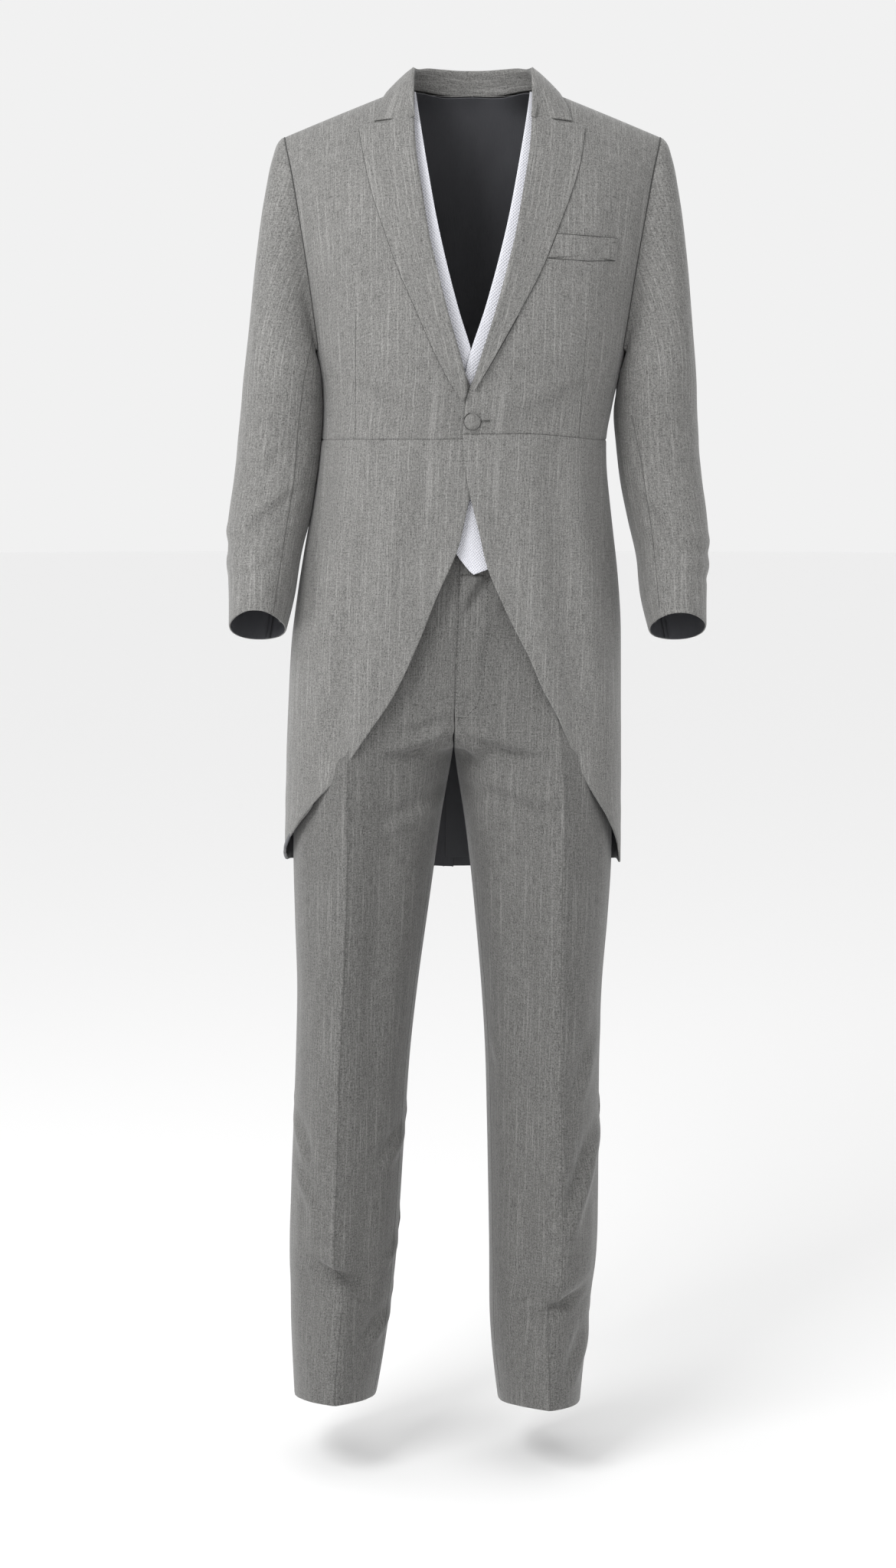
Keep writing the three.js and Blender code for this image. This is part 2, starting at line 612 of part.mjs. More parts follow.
function coat() {
  SIDES.forEach(({ name, side }) => {
    const crown = (i) => (i === 0 ? 'y' : null);
    const spine = (i, j, lastRow, lastColumn, point) => {
      if (j === 0) return 'x';
      return i === 0 && Math.abs(point.x) > NECK_HALF ? 'y' : null;
    };
    wall(`coat_forepart_${name}`, mirror(forepart(name), side), WOOL, GREY, { squared: crown });
    wall(`coat_sidebody_${name}`, mirror(sidebody(), side), WOOL, GREY);
    wall(`coat_back_${name}`, mirror(backPanel(), side), WOOL, GREY, { squared: spine });
    wall(`coat_skirt_${name}`, mirror(skirt(name), side), WOOL, GREY);
    wall(`coat_tail_lining_${name}`, mirror(tailLining(), side), SATIN, DARK, { squared: spine });
    wall(`coat_lapel_${name}`, mirror(lapel(name), side), LAPEL_THICK, GREY);
  });
  wall('coat_collar', collar(), COLLAR_THICK, GREY);
  wall('coat_breast_welt', breastWelt(), WELT_THICK, GREY);
  sleeves();
  torsoButton('coat_front_button', 1, false, FRONT_BUTTON);
  SIDES.forEach(({ name, side }) => torsoButton(`coat_back_button_${name}`, side, true, BACK_BUTTON));
  cuffButtons();
}

// Waistcoat: the coat's surface set in, with a V neck, cut armholes and a pointed front
const VEST_EDGE = table(['z', 'x'], [
  [10, 66], [-36, 59], [-109, 46.5], [-160, 36.5], [-202, 26], [-251, 12.5], [-290, 1], [-312, -7],
  [-345, -9], [-540, -9],
]);
const VEST_ARM = table(['z', 'x'], [
  [-10, 148], [-60, 143], [-140, 138], [-210, 141], [-262, 152], [-300, 162],
]);
const VEST_HEM = {
  left: table(['x', 'z'], [[-9, -510], [12, -541], [30, -535], [70, -522], [150, -514], [190, -514]]),
  right: table(['x', 'z'], [[-12, -498], [8, -508], [30, -512], [70, -514], [190, -514]]),
};

const vestTop = (x) => shoulderHeight(x) - WAISTCOAT_INSET;

// Half width at a height, where an angle gives the side seam: the armhole is cut in from it
function vestSide(angle, z, share) {
  const seam = torsoAtAngle(angle, z, WAISTCOAT_INSET).x;
  return mix(seam, VEST_ARM.x(z), smooth(0, 0.14, share));
}

function vestFront(name) {
  const columns = [0, 0.088, 0.2, 0.33, 0.46, 0.6, 0.73, 0.87, 1];
  const upper = [1, 0.97, 0.9, 0.8, 0.66, 0.5, 0.34, 0.18, 0].map((share) => columns.map((u) => {
    let x = 60;
    let z = VEST_ARM_FOOT;
    for (let i = 0; i < 12; i += 1) {
      x = mix(VEST_EDGE.x(z), vestSide(VEST_SIDE, z, share), spread(u, 80));
      z = VEST_ARM_FOOT + (vestTop(x) - VEST_ARM_FOOT) * share;
    }
    return torsoAtX(x, z, false, WAISTCOAT_INSET);
  }));
  const lower = [0.12, 0.3, 0.5, 0.7, 0.88, 1].map((run) => columns.map((u) => {
    let z = mix(VEST_ARM_FOOT, VEST_FOOT, run);
    let x = 0;
    for (let i = 0; i < 6; i += 1) {
      x = mix(VEST_EDGE.x(z), vestSide(VEST_SIDE, z, 0), spread(u, 80));
      z = mix(VEST_ARM_FOOT, VEST_HEM[name].z(x), run);
    }
    return torsoAtX(x, z, false, WAISTCOAT_INSET);
  }));
  return [...upper, ...lower].map((row) => row.map((p) => {
    const under = name === 'right' ? 2.8 * (1 - smooth(14, 42, p.x)) : 0;
    return p.setY(p.y + under - (p.y > 2 ? SEAM : 0));
  }));
}

function vestBack() {
  const columns = range(12).map((u) => mix(-1, 1, u));
  const halfAcross = (u, z, share) => (
    vestSide(VEST_SIDE - 1, z, share) * Math.sign(u) * spread(Math.abs(u), 80));
  const upper = [1, 0.94, 0.84, 0.7, 0.5, 0.25, 0].map((share) => columns.map((u) => {
    let x = 0;
    let z = VEST_ARM_FOOT;
    for (let i = 0; i < 12; i += 1) {
      x = halfAcross(u, z, share);
      const neck = 0.945 + 0.055 * Math.min(1, Math.abs(x) / 66) ** 2;
      z = VEST_ARM_FOOT + (vestTop(x) - VEST_ARM_FOOT) * share * neck;
    }
    return torsoAtX(x, z, true, WAISTCOAT_INSET);
  }));
  const lower = [-350, -400, -450, VEST_FOOT].map((z) => columns.map((u) => (
    torsoAtX(halfAcross(u, z, 0), z, true, WAISTCOAT_INSET))));
  return [...upper, ...lower];
}

function waistcoat() {
  const squared = (i, j, lastRow, lastColumn, point) => (i === 0 && Math.abs(point.x) > 60 ? 'y' : null);
  SIDES.forEach(({ name, side }) => {
    wall(`waistcoat_front_${name}`, mirror(vestFront(name), side), PIQUE, WHITE, { squared });
  });
  wall('waistcoat_back', vestBack(), PIQUE, DARK, { squared });
}

// Trousers: each leg's section runs through its inseam, front crease, outseam and back crease
const LEG_FOOT = -1542;
const LEG = table(['z', 'inner', 'crease', 'outer', 'front', 'back'], [
  [-541, 0.2, 88, 168, -101, 105],
  [-600, 0.2, 98, 176, -104, 116],
  [-650, 0.2, 107, 181, -105, 120],
  [-700, 0.2, 115, 184, -105, 116],
  [-746, 0.4, 121, 186, -102, 110],
  [-800, 9, 123, 188, -101, 104],
  [-891, 21.5, 123.5, 189, -100, 97],
  [-990, 33, 125, 184, -98, 91],
  [-1045, 39, 126, 182, -96, 87],
  [-1125, 45.5, 129, 182, -93, 83],
  [-1235, 50.5, 133, 184.5, -90, 78],
  [-1352, 55.5, 137, 186, -86, 75],
  [-1400, 58, 133, 183, -85, 75],
  [-1459, 62.5, 133.5, 179.5, -86, 74],
  [-1542, 74, 134.5, 174, -88, 76],
]);
const CROTCH = table(['z', 'front', 'back'], [
  [-541, -102, 106], [-600, -105, 118], [-650, -104, 121], [-690, -93, 112], [-715, -75, 95],
  [-732, -51, 71], [-741, -28, 44], [-746, -2, 12], [-760, 5, 5],
]);
const LEG_ROWS = [
  -541, -600, -650, -690, -715, -732, -741, -746, -775, -820, -880, -950, -1030, -1110, -1200, -1290,
  -1345, -1372, -1400, -1440, -1490, LEG_FOOT,
];
const BREAKS = [
  { name: 'right', z: -1376, deep: 7, tall: 16, slant: -0.25 },
  { name: 'left', z: -1406, deep: 8, tall: 17, slant: 0.25 },
];
const INNER_ROUND = 2 / 2.3;  // how square the leg's section is towards the inseam and the outseam
const OUTER_ROUND = 2 / 2.1;

function legPoint(name, z, part, back) {
  const front = !back;
  const inseam = front ? CROTCH.front(z) : CROTCH.back(z);
  const face = front ? LEG.front(z) : LEG.back(z);
  const shift = name === 'left' ? 3 : -3;
  const crease = LEG.crease(z) + shift * smooth(-650, -900, z);
  const inner = LEG.inner(z);
  const outer = LEG.outer(z);
  let x;
  let y;
  if (part < 0.5) {
    const turn = radians(180 * part);
    x = crease - (crease - inner) * Math.cos(turn) ** INNER_ROUND;
    y = inseam + (face - inseam) * Math.sin(turn) ** INNER_ROUND;
  } else {
    const turn = radians(180 * (part - 0.5));
    x = crease + (outer - crease) * Math.sin(turn) ** OUTER_ROUND;
    y = MIDDLE + (face - MIDDLE) * Math.max(0, Math.cos(turn)) ** OUTER_ROUND;
  }
  const ridge = 5 * smooth(-680, -880, z) * Math.exp(-(((x - crease) / 10) ** 2));
  y += front ? -ridge : ridge;
  if (front) {
    BREAKS.filter((fold) => fold.name === name).forEach((fold) => {
      const level = fold.z + fold.slant * (x - crease);
      const across = smooth(MIDDLE, face * 0.7, y);
      y += across * fold.deep * Math.exp(-(((z - level) / fold.tall) ** 2));
      y -= across * fold.deep * 0.5 * Math.exp(-(((z - level - 30) / fold.tall) ** 2));
    });
  }
  const hemShare = smooth(-1400, LEG_FOOT, z);
  const slope = -0.2 * (y - MIDDLE) + (name === 'left' ? -4 : 2);
  return new THREE.Vector3(x, y, z + hemShare * slope);
}

function legPanel(name, back) {
  const parts = back ? range(8).reverse() : range(8);
  return LEG_ROWS.map((z) => parts.map((part) => {
    const point = legPoint(name, z, part, back);
    if (part === 1) point.y += back ? 0.2 : -0.2;
    if (part === 0 && z < FORK + 1) point.y += back ? 0.2 : -0.2;
    return point;
  }));
}

function waistband() {
  const ring = (z, grow) => range(36).map((u) => {
    const turn = radians(mix(0.12, 359.88, u));
    const power = 2 / 2.35;
    const round = (value) => Math.sign(value) * Math.abs(value) ** power;
    const face = Math.cos(turn) > 0 ? -102.5 + grow : 105 - grow;
    const x = (167 - grow) * round(Math.sin(turn));
    return new THREE.Vector3(x, face * Math.abs(round(Math.cos(turn))), z);
  });
  return [ring(BAND_TOP, 3), ring(-520, 1), ring(BAND_FOOT, 0)];
}

// Fly: the stitched strip that laps over the centre front seam, moved out from the front's points
function fly() {
  return [-542, -600, -650, -690, -703].map((z) => range(4).map((u) => {
    const reach = mix(34, 12, smooth(-650, -703, z));
    const x = mix(0.5, reach, u);
    const share = clamp((LEG.crease(z) - Math.max(x, 4)) / (LEG.crease(z) - LEG.inner(z)), 0, 1);
    const turn = Math.acos(share ** (1 / INNER_ROUND));
    const seam = CROTCH.front(z);
    const y = seam + (LEG.front(z) - seam) * Math.sin(turn) ** INNER_ROUND;
    return new THREE.Vector3(x, y - 2.6, z);
  }));
}

function trousers() {
  SIDES.forEach(({ name, side }) => {
    const squared = (i, j, lastRow, lastColumn, point) => {
      if (Math.abs(point.x) < 0.5) return 'x';
      return j === 0 || j === lastColumn ? 'y' : null;
    };
    const options = { axis: [110 * side, 0], squared };
    wall(`trouser_front_${name}`, mirror(legPanel(name, false), side), WOOL, GREY, options);
    wall(`trouser_back_${name}`, mirror(legPanel(name, true), side), WOOL, GREY, options);
  });
  wall('trouser_waistband', waistband(), BAND_THICK, GREY);
  wall('trouser_fly', fly(), FLY_THICK, GREY);
}

coat();
waistcoat();
trousers();

export default nodes;
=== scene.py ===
import bpy
import math
import numpy as np
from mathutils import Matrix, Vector


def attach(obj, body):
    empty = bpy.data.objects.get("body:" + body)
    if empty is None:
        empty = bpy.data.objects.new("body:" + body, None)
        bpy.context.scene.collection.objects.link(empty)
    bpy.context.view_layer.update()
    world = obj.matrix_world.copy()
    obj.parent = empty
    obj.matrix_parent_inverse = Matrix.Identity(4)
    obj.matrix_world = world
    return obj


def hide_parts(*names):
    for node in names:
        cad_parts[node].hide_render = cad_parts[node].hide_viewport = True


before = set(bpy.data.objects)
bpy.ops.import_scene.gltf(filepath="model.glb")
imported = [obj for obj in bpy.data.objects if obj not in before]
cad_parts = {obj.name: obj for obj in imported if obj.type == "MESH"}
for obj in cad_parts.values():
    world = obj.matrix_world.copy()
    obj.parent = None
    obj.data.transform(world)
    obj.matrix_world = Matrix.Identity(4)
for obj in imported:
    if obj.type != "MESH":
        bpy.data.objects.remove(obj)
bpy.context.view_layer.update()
scene = bpy.context.scene

# Camera, light and floor
studio = dict(
    cameraAt=(-0.015, -3.2, -0.4), tiltDown=7.0, lens=62.44,
    floorHeight=-1.62, floorRadii=(2.0, 30), floorSides=64, floorShade=0.97, skyStrength=0.88,
    lamps=[  # place, where it points, size, watts
        ((-1.2, -1.7, 1.0), (0, 0, -0.25), 1.1, 38),
        ((-2.3, -0.75, -0.5), (0, 0, -0.85), 0.8, 13),
        ((2.0, -2.2, 0.6), (0, 0, -0.5), 1.6, 5),
    ],
)
scene.view_settings.view_transform = "Standard"  # paper stays white and greys keep their depth
eye = bpy.data.cameras.new("camera")
eye.lens, eye.sensor_width, eye.clip_end = studio["lens"], 36, 60
camera = bpy.data.objects.new("camera", eye)
camera.location = studio["cameraAt"]
camera.rotation_euler = (math.radians(90 - studio["tiltDown"]), 0, 0)
scene.collection.objects.link(camera)
scene.camera = camera
for number, (place, target, size, watts) in enumerate(studio["lamps"]):
    lamp = bpy.data.lights.new(f"softbox{number}", "AREA")
    lamp.shape, lamp.size, lamp.energy = "SQUARE", size, watts
    holder = bpy.data.objects.new(f"softbox{number}", lamp)
    holder.location = place
    holder.rotation_euler = (Vector(target) - Vector(place)).to_track_quat("-Z", "Y").to_euler()
    scene.collection.objects.link(holder)
sky = bpy.data.worlds.new("sky")
scene.world = sky
sky.use_nodes = True
sky.node_tree.nodes["Background"].inputs[0].default_value = (1, 1, 1, 1)
sky.node_tree.nodes["Background"].inputs[1].default_value = studio["skyStrength"]
print("studio is set")


# A socket that sums and products can be written with
class Sock:
    def __init__(self, graph, socket):
        self.graph, self.socket = graph, socket

    def maths(self, operation, *values):
        return self.graph.node("ShaderNodeMath", dict(operation=operation), values)

    def __add__(self, other):
        return self.maths("ADD", self, other)

    def __sub__(self, other):
        return self.maths("SUBTRACT", self, other)

    def __rsub__(self, other):
        return self.maths("SUBTRACT", other, self)

    def __mul__(self, other):
        return self.maths("MULTIPLY", self, other)

    __radd__, __rmul__ = __add__, __mul__


# A material under construction
class Finish:
    def __init__(self, name, roughness):
        self.material = bpy.data.materials.new(name)
        self.material.use_nodes = True
        self.tree = self.material.node_tree
        self.shader = self.tree.nodes["Principled BSDF"]
        self.shader.inputs["Roughness"].default_value = roughness
        self.shader.inputs["Specular IOR Level"].default_value = 0.25

    def node(self, kind, settings=None, inputs=(), output=0):
        made = self.tree.nodes.new(kind)
        for key, value in (settings or {}).items():
            setattr(made, key, value)
        entries = inputs.items() if isinstance(inputs, dict) else enumerate(inputs)
        for key, value in entries:
            self.feed(made.inputs[key], value)
        return Sock(self, made.outputs[output])

    def feed(self, socket, value):
        if isinstance(value, Sock):
            self.tree.links.new(value.socket, socket)
        else:
            socket.default_value = value

    def clothMap(self):
        return self.node("ShaderNodeUVMap", dict(uv_map="cloth"))

    def noise(self, place, across, along, detail=2.0):
        spot = self.node("ShaderNodeMapping", {}, {"Vector": place, "Scale": (across, along, 1)})
        return self.node("ShaderNodeTexNoise", dict(noise_dimensions="2D"),
                         {"Vector": spot, "Scale": 1.0, "Detail": detail, "Roughness": 0.55})

    def blend(self, share, first, second):
        return self.node("ShaderNodeMix", dict(data_type="RGBA"), {0: share, 6: first, 7: second}, 2)

    def colour(self, value):
        self.feed(self.shader.inputs["Base Color"], value)

    def bump(self, height, distance):
        raised = self.node("ShaderNodeBump", {}, {"Height": height, "Distance": distance, "Strength": 1.0})
        self.feed(self.shader.inputs["Normal"], raised)


woolLook = dict(
    dark=(0.045, 0.0445, 0.0425, 1), light=(0.305, 0.3015, 0.2925, 1),
    streaks=[(820, 70, 0.6), (80, 620, 0.3), (520, 430, 0.75), (980, 800, 1.0), (36, 14, 0.1)],
    threads=(430, 8, 0.22), paleBand=(0.57, 0.74),
    bump=0.00028, sheen=0.3, sheenRoughness=0.35,
    lineShade=0.45, lineWidth=0.00055, lineFade=0.03, lineDepth=1.5,
)


# Wool: streaks and flecks across and along the cloth, and where darts are sewn a groove in the bump with
# painted shade along it
def woolFinish(name, look=woolLook, dim=1.0, lines=()):
    cloth = Finish(name, 0.88)
    place = cloth.clothMap()
    shade = 0.5
    for across, along, weight in look["streaks"]:
        shade = (cloth.noise(place, across, along) - 0.5) * weight + shade
    across, along, weight = look["threads"]  # paler yarns, here and there
    yarns = cloth.noise(place, across, along, 1.0)
    pale = cloth.node("ShaderNodeMapRange", dict(clamp=True), [yarns, *look["paleBand"], 0.0, 1.0])
    shade = pale * weight + shade
    height = shade
    for (x0, z0), (x1, z1) in lines:
        spot = cloth.node("ShaderNodeSeparateXYZ", {}, [cloth.node("ShaderNodeTexCoord", output=3)])
        x, y, z = (Sock(cloth, spot.socket.node.outputs[i]) for i in range(3))
        slant = (x1 - x0) / (z1 - z0)
        away = cloth.node("ShaderNodeMath", dict(operation="ABSOLUTE"), [x - (z - z0) * slant - x0])
        near = cloth.node("ShaderNodeMapRange", dict(clamp=True), [away, 0, look["lineWidth"], 1.0, 0.0])
        level = cloth.node("ShaderNodeMapRange", dict(clamp=True), [z, z0, z0 - look["lineFade"], 0.0, 1.0])
        front = cloth.node("ShaderNodeMath", dict(operation="LESS_THAN"), [y, 0.0])
        dartShade = near * level * front
        # painted shade: the colour is darkened along each dart's line, where its groove would lie in shade
        shade = shade - dartShade * look["lineShade"]
        height = height - dartShade * look["lineDepth"]
    dark, light = (tuple(dim * c for c in look[key][:3]) + (1,) for key in ("dark", "light"))
    cloth.colour(cloth.blend(shade, dark, light))
    cloth.bump(height, look["bump"])
    cloth.shader.inputs["Sheen Weight"].default_value = look["sheen"]
    cloth.shader.inputs["Sheen Roughness"].default_value = look["sheenRoughness"]
    return cloth.material


piqueLook = dict(
    low=(0.60, 0.61, 0.67, 1), high=(0.90, 0.90, 0.95, 1),
    cell=0.0026, rim=(0.03, 0.3), uneven=0.12, bump=0.0006,
)


# Small lozenges with raised rims, and painted shade: the colour is darker in each lozenge's hollow than on
# its rims
def piqueFinish(name, look=piqueLook):
    cloth = Finish(name, 0.8)
    place = cloth.clothMap()
    turned = cloth.node("ShaderNodeMapping", {}, {"Vector": place, "Rotation": (0, 0, math.radians(45)),
                                                  "Scale": (1 / look["cell"],) * 3})
    cells = cloth.node("ShaderNodeTexVoronoi", dict(voronoi_dimensions="2D", feature="DISTANCE_TO_EDGE"),
                       {"Vector": turned, "Scale": 1.0, "Randomness": look["uneven"]})
    rim = cloth.node("ShaderNodeMapRange", dict(clamp=True), [cells, *look["rim"], 1.0, 0.0])
    # painted shade: low is the colour of the hollows, high that of the raised rims
    cloth.colour(cloth.blend(rim, look["low"], look["high"]))
    cloth.bump(rim, look["bump"])
    return cloth.material


satinLook = dict(
    dark=(0.075, 0.076, 0.084, 1), light=(0.125, 0.127, 0.138, 1),
    threads=(1500, 90), drift=(25, 9), threadShare=0.35, bump=0.0002,
)


def satinFinish(name, look=satinLook):
    cloth = Finish(name, 0.42)
    place = cloth.clothMap()
    threads, drift = (cloth.noise(place, *look[key]) for key in ("threads", "drift"))
    shade = threads * look["threadShare"] + drift * (1 - look["threadShare"])
    cloth.colour(cloth.blend(shade, look["dark"], look["light"]))
    cloth.bump(threads, look["bump"])
    return cloth.material


threadLook = dict(dark=(0.13, 0.13, 0.125, 1), light=(0.30, 0.30, 0.29, 1), fleck=900.0)


def threadFinish(name, look=threadLook):
    cord = Finish(name, 0.7)
    spot = cord.node("ShaderNodeTexCoord", output=3)
    fleck = cord.node("ShaderNodeTexNoise", {}, {"Vector": spot, "Scale": look["fleck"]})
    cord.colour(cord.blend(fleck, look["dark"], look["light"]))
    return cord.material


# Brightness of the darker copies of the coat's wool, as a share of it, all painted shade: on the trousers,
# which get less light, on the trousers' inside faces, and in the dark lines along edges, seams and creases
woolShare = dict(trousers=0.73, inside=0.62, soft=0.46, pressed=0.30)
wool = woolFinish("wool")
darts = dict(  # top and foot of each line sewn down a front, in metres
    left=[((0.142, -0.244), (0.134, -0.385))],
    right=[((-0.118, -0.229), (-0.1205, -0.388))],
)
frontWool = {name: woolFinish(f"wool{name.title()}Front", lines=lines) for name, lines in darts.items()}
# painted shade: the trousers' wool is the coat's, darkened because less light reaches the legs
trouserWool = woolFinish("trouserWool", dim=woolShare["trousers"])
# painted shade: a darker copy of the wool for the trousers' inside faces
woolDeep = woolFinish("woolDeep", dim=woolShare["inside"])
pique = piqueFinish("pique")
satin = satinFinish("satin")
thread = threadFinish("thread")
print("finishes are mixed")


# Short tables, read smoothly and with no overshoot between their rows
class Chart:
    def __init__(self, columns, rows):
        self.keys = np.array([row[0] for row in rows], float)
        self.columns = {name: np.array([row[i] for row in rows], float)
                        for i, name in enumerate(columns.split())}

    def __getattr__(self, name):
        values = self.columns[name]
        return lambda at: readChart(self.keys, values, at)


def readChart(keys, values, at):
    at = np.asarray(at, float)
    if keys[-1] < keys[0]:
        keys, at = -keys, -at
    at = np.clip(at, keys[0], keys[-1])
    span = np.diff(keys)
    slope = np.diff(values) / span
    tangent = np.concatenate([slope[:1], np.zeros(len(slope) - 1), slope[-1:]])
    before, after = slope[:-1], slope[1:]
    same = before * after > 0
    tangent[1:-1] = np.where(same, 2 * before * after / np.where(same, before + after, 1), 0)
    i = np.clip(np.searchsorted(keys, at, side="right") - 1, 0, len(span) - 1)
    t = (at - keys[i]) / span[i]
    return ((2 * t**3 - 3 * t**2 + 1) * values[i] + (t**3 - 2 * t**2 + t) * span[i] * tangent[i]
            + (3 * t**2 - 2 * t**3) * values[i + 1] + (t**3 - t**2) * span[i] * tangent[i + 1])


def mix(a, b, t):
    return a + (b - a) * t


def smooth(low, high, value):
    t = np.clip((np.asarray(value, float) - low) / (high - low), 0, 1)
    return t * t * (3 - 2 * t)


def shares(count):
    return np.linspace(0, 1, count + 1)


# Sizes of the form and the cut, in millimetres, as the solids have them
cut = dict(
    chest=-285, waist=-388, middle=4, shoulderSlope=0.408, neckRound=30, neckHalf=74,
    archFront=2.6, archBack=2.2, lapDrop=3.5, inset=7, seam=0.3, bicep=-318, fork=-746,
    bandTop=-500, bandFoot=-540.6, legFoot=-1542, backSeamTop=-203,
    woolThick=1.8,
)
body = Chart("z half front back square", [
    (30, 250, -128, 118, 2.4), (-45, 240, -129, 122, 2.4), (-100, 222, -131, 127, 2.4),
    (-200, 196, -133, 131, 2.4), (-285, 180, -131, 128, 2.4), (-340, 169.5, -122, 117, 2.4),
    (-388, 166, -113, 107, 2.4), (-457, 173, -115, 118, 2.45), (-529, 184, -120, 130, 2.6),
    (-620, 193.5, -124, 138, 2.75), (-700, 196, -125, 140, 2.8), (-788, 197.5, -125, 140, 2.8),
    (-930, 199.5, -126, 142, 2.8),
])
bodyLean = Chart("z x", [
    (40, 13.5), (-200, 12), (-309, 10.5), (-350, 7.5), (-388, 3.5), (-470, 0.5), (-564, -2.5),
    (-651, -6), (-788, -9), (-890, -10), (-1035, -13.4), (-1125, -15.7), (-1235, -18.1),
    (-1352, -20.9), (-1459, -26), (-1550, -28.5),
])
armLean = Chart("z x", [(40, 13.5), (-200, 12), (-290, 11), (-400, 8.5), (-620, 7.5)])
rollLine = Chart("z x", [
    (30, 66), (-10, 67), (-63, 64), (-109, 57), (-160, 48.5), (-202, 38.5), (-251, 25.5),
    (-291, 13.2), (-333, 0.8),
])
lapelEdge = Chart("z left right", [
    (-40, 126, 128), (-75, 121.3, 121.5), (-110, 111.5, 113.5), (-158, 94, 97.5), (-203, 76, 81),
    (-245, 54, 62), (-287, 31, 43), (-325, 9.5, 22), (-347, -3, 4.5),
])
armhole = Chart("z front back", [
    (-42, 216, 216), (-51, 214, 215), (-90, 205, 209), (-125, 199, 204), (-160, 193, 199),
    (-203, 186.5, 191), (-250, 180, 183), (-285, 175.5, 175.5),
])
shoulderShares = [1, 0.985, 0.96, 0.92, 0.86, 0.78, 0.68, 0.56, 0.44, 0.34, 0.16, 0]
cutaway = dict(
    right=Chart("z angle", [
        (-388, -4.7), (-420, -4), (-452, -1.6), (-513, 0.4), (-565, 3.9), (-615, 7.3), (-645, 10),
        (-684, 14.9), (-713, 20.6), (-738, 26.3), (-770, 34.7), (-800, 46.4), (-835, 64.4),
        (-858, 79), (-870, 88),
    ]),
    left=Chart("z angle", [
        (-388, -0.3), (-420, 0.2), (-452, 1.5), (-491, 3.7), (-534, 5.8), (-565, 8.8), (-600, 12.9),
        (-634, 18), (-671, 23.1), (-702, 29.4), (-743, 37), (-786, 47), (-826, 61),
        (-852, 71.6), (-880, 81),
    ]),
)
hem = Chart("angle z", [(78, -888), (90, -885), (105, -890), (130, -901), (165, -911), (180, -913)])


def shoulderHeight(x):
    return 5 - cut["shoulderSlope"] * (np.hypot(x, cut["neckRound"]) - 100.6)


def shoulderDepth(x):
    return 12 - 0.046 * np.abs(x)


def torsoDepth(x, z, back, inset=0):
    half = body.half(z) - inset
    face = body.back(z) - inset if back else body.front(z) + inset * 1.3
    square = body.square(z)
    share = np.clip(np.abs(x) / half, 0, 1)
    ring = cut["middle"] + (face - cut["middle"]) * (1 - share**square) ** (1 / square)
    rise = np.clip((z - cut["chest"]) / (shoulderHeight(x) - inset - cut["chest"]), 0, 1)
    power = cut["archBack"] if back else cut["archFront"]
    ridge = shoulderDepth(x)
    arched = ridge + (ring - ridge) * (1 - rise**power) ** (1 / power)
    return np.where(np.asarray(z) <= cut["chest"], ring, arched)


def torsoAtX(x, z, back, inset=0):
    x, z = np.broadcast_arrays(np.asarray(x, float), np.asarray(z, float))
    return np.stack([x, torsoDepth(x, z, back, inset), z], -1)


def torsoAtAngle(angle, z, inset=0):
    turn = np.radians(angle)
    x = (body.half(z) - inset) * np.sign(turn) * np.abs(np.sin(turn)) ** (2 / body.square(z))
    behind = np.abs(np.asarray(angle, float)) > 90
    front, back = torsoAtX(x, z, False, inset), torsoAtX(x, z, True, inset)
    return np.where(np.broadcast_to(behind, front.shape[:-1])[..., None], back, front)


def angleAtX(x, z):
    share = np.clip(x / body.half(z), 0, 1)
    return np.degrees(np.arcsin(share ** (body.square(z) / 2)))


def lifted(x, z, back, out):
    x, z, out = np.broadcast_arrays(*(np.asarray(v, float) for v in (x, z, out)))
    crown = shoulderHeight(x)
    step = 0.5
    low = np.minimum(z, crown - 1)
    here = torsoAtX(x, low, back)
    across = torsoAtX(x + step, low, back) - here
    up = torsoAtX(x, low + step, back) - here
    normal = np.cross(across, up)
    normal /= np.linalg.norm(normal, axis=-1, keepdims=True) * (-1 if back else 1)
    raised = here + normal * out[..., None]
    ridge = np.stack([x + 0.35 * out, shoulderDepth(x), crown + out], -1)
    return np.where((z > crown - 1)[..., None], ridge, raised)


def lapDrop(x, z):
    return cut["lapDrop"] * (1 - smooth(8, 26, x)) * smooth(-505, -462, z)


def waistArch(x, name):
    return 6 * (1 - smooth(75, 160, x)) if name == "left" else 0 * np.asarray(x, float)


# Armhole loop, from the shoulder point down the front, under the arm and up the back
def armholeLoop():
    def seek(column, share):
        x = 216.0
        for _ in range(30):
            x = float(getattr(armhole, column)(mix(cut["chest"], shoulderHeight(x), share)))
        return x, float(mix(cut["chest"], shoulderHeight(x), share))
    front, under, back = [], [], []
    for share in shoulderShares:
        x, z = seek("front", share)
        front.append(dict(share=share, x=x, z=z, angle=float(angleAtX(x, z)), point=torsoAtX(x, z, False)))
        x, z = seek("back", share)
        angle = 180 - float(angleAtX(x, z))
        back.append(dict(share=share, x=x, z=z, angle=angle, point=torsoAtX(x, z, True)))
    for angle in (84, 90, 96):
        z = cut["chest"] - 3 * math.sin(math.radians((angle - 76) * 6.4))
        under.append(dict(angle=angle, z=z, point=torsoAtAngle(angle, z)))
    return front, under, back[::-1]


loopFront, loopUnder, loopBack = armholeLoop()
loop = loopFront + loopUnder + loopBack
loopSide = loopFront[-1:] + loopUnder + [place for place in loopBack if place["z"] <= cut["backSeamTop"] + 4]


def spread(u, reach):
    return np.sin(np.radians(reach * u)) / math.sin(math.radians(reach))


def foreEdge(z, name):
    meets = -2.5 if name == "left" else -19
    drop = smooth(-318, -350, z) if name == "left" else smooth(-318, -366, z)
    low = mix(rollLine.x(z), meets, drop)
    return np.where(np.asarray(z) > -30, mix(66.5, cut["neckHalf"], smooth(-30, 12, z)), low)


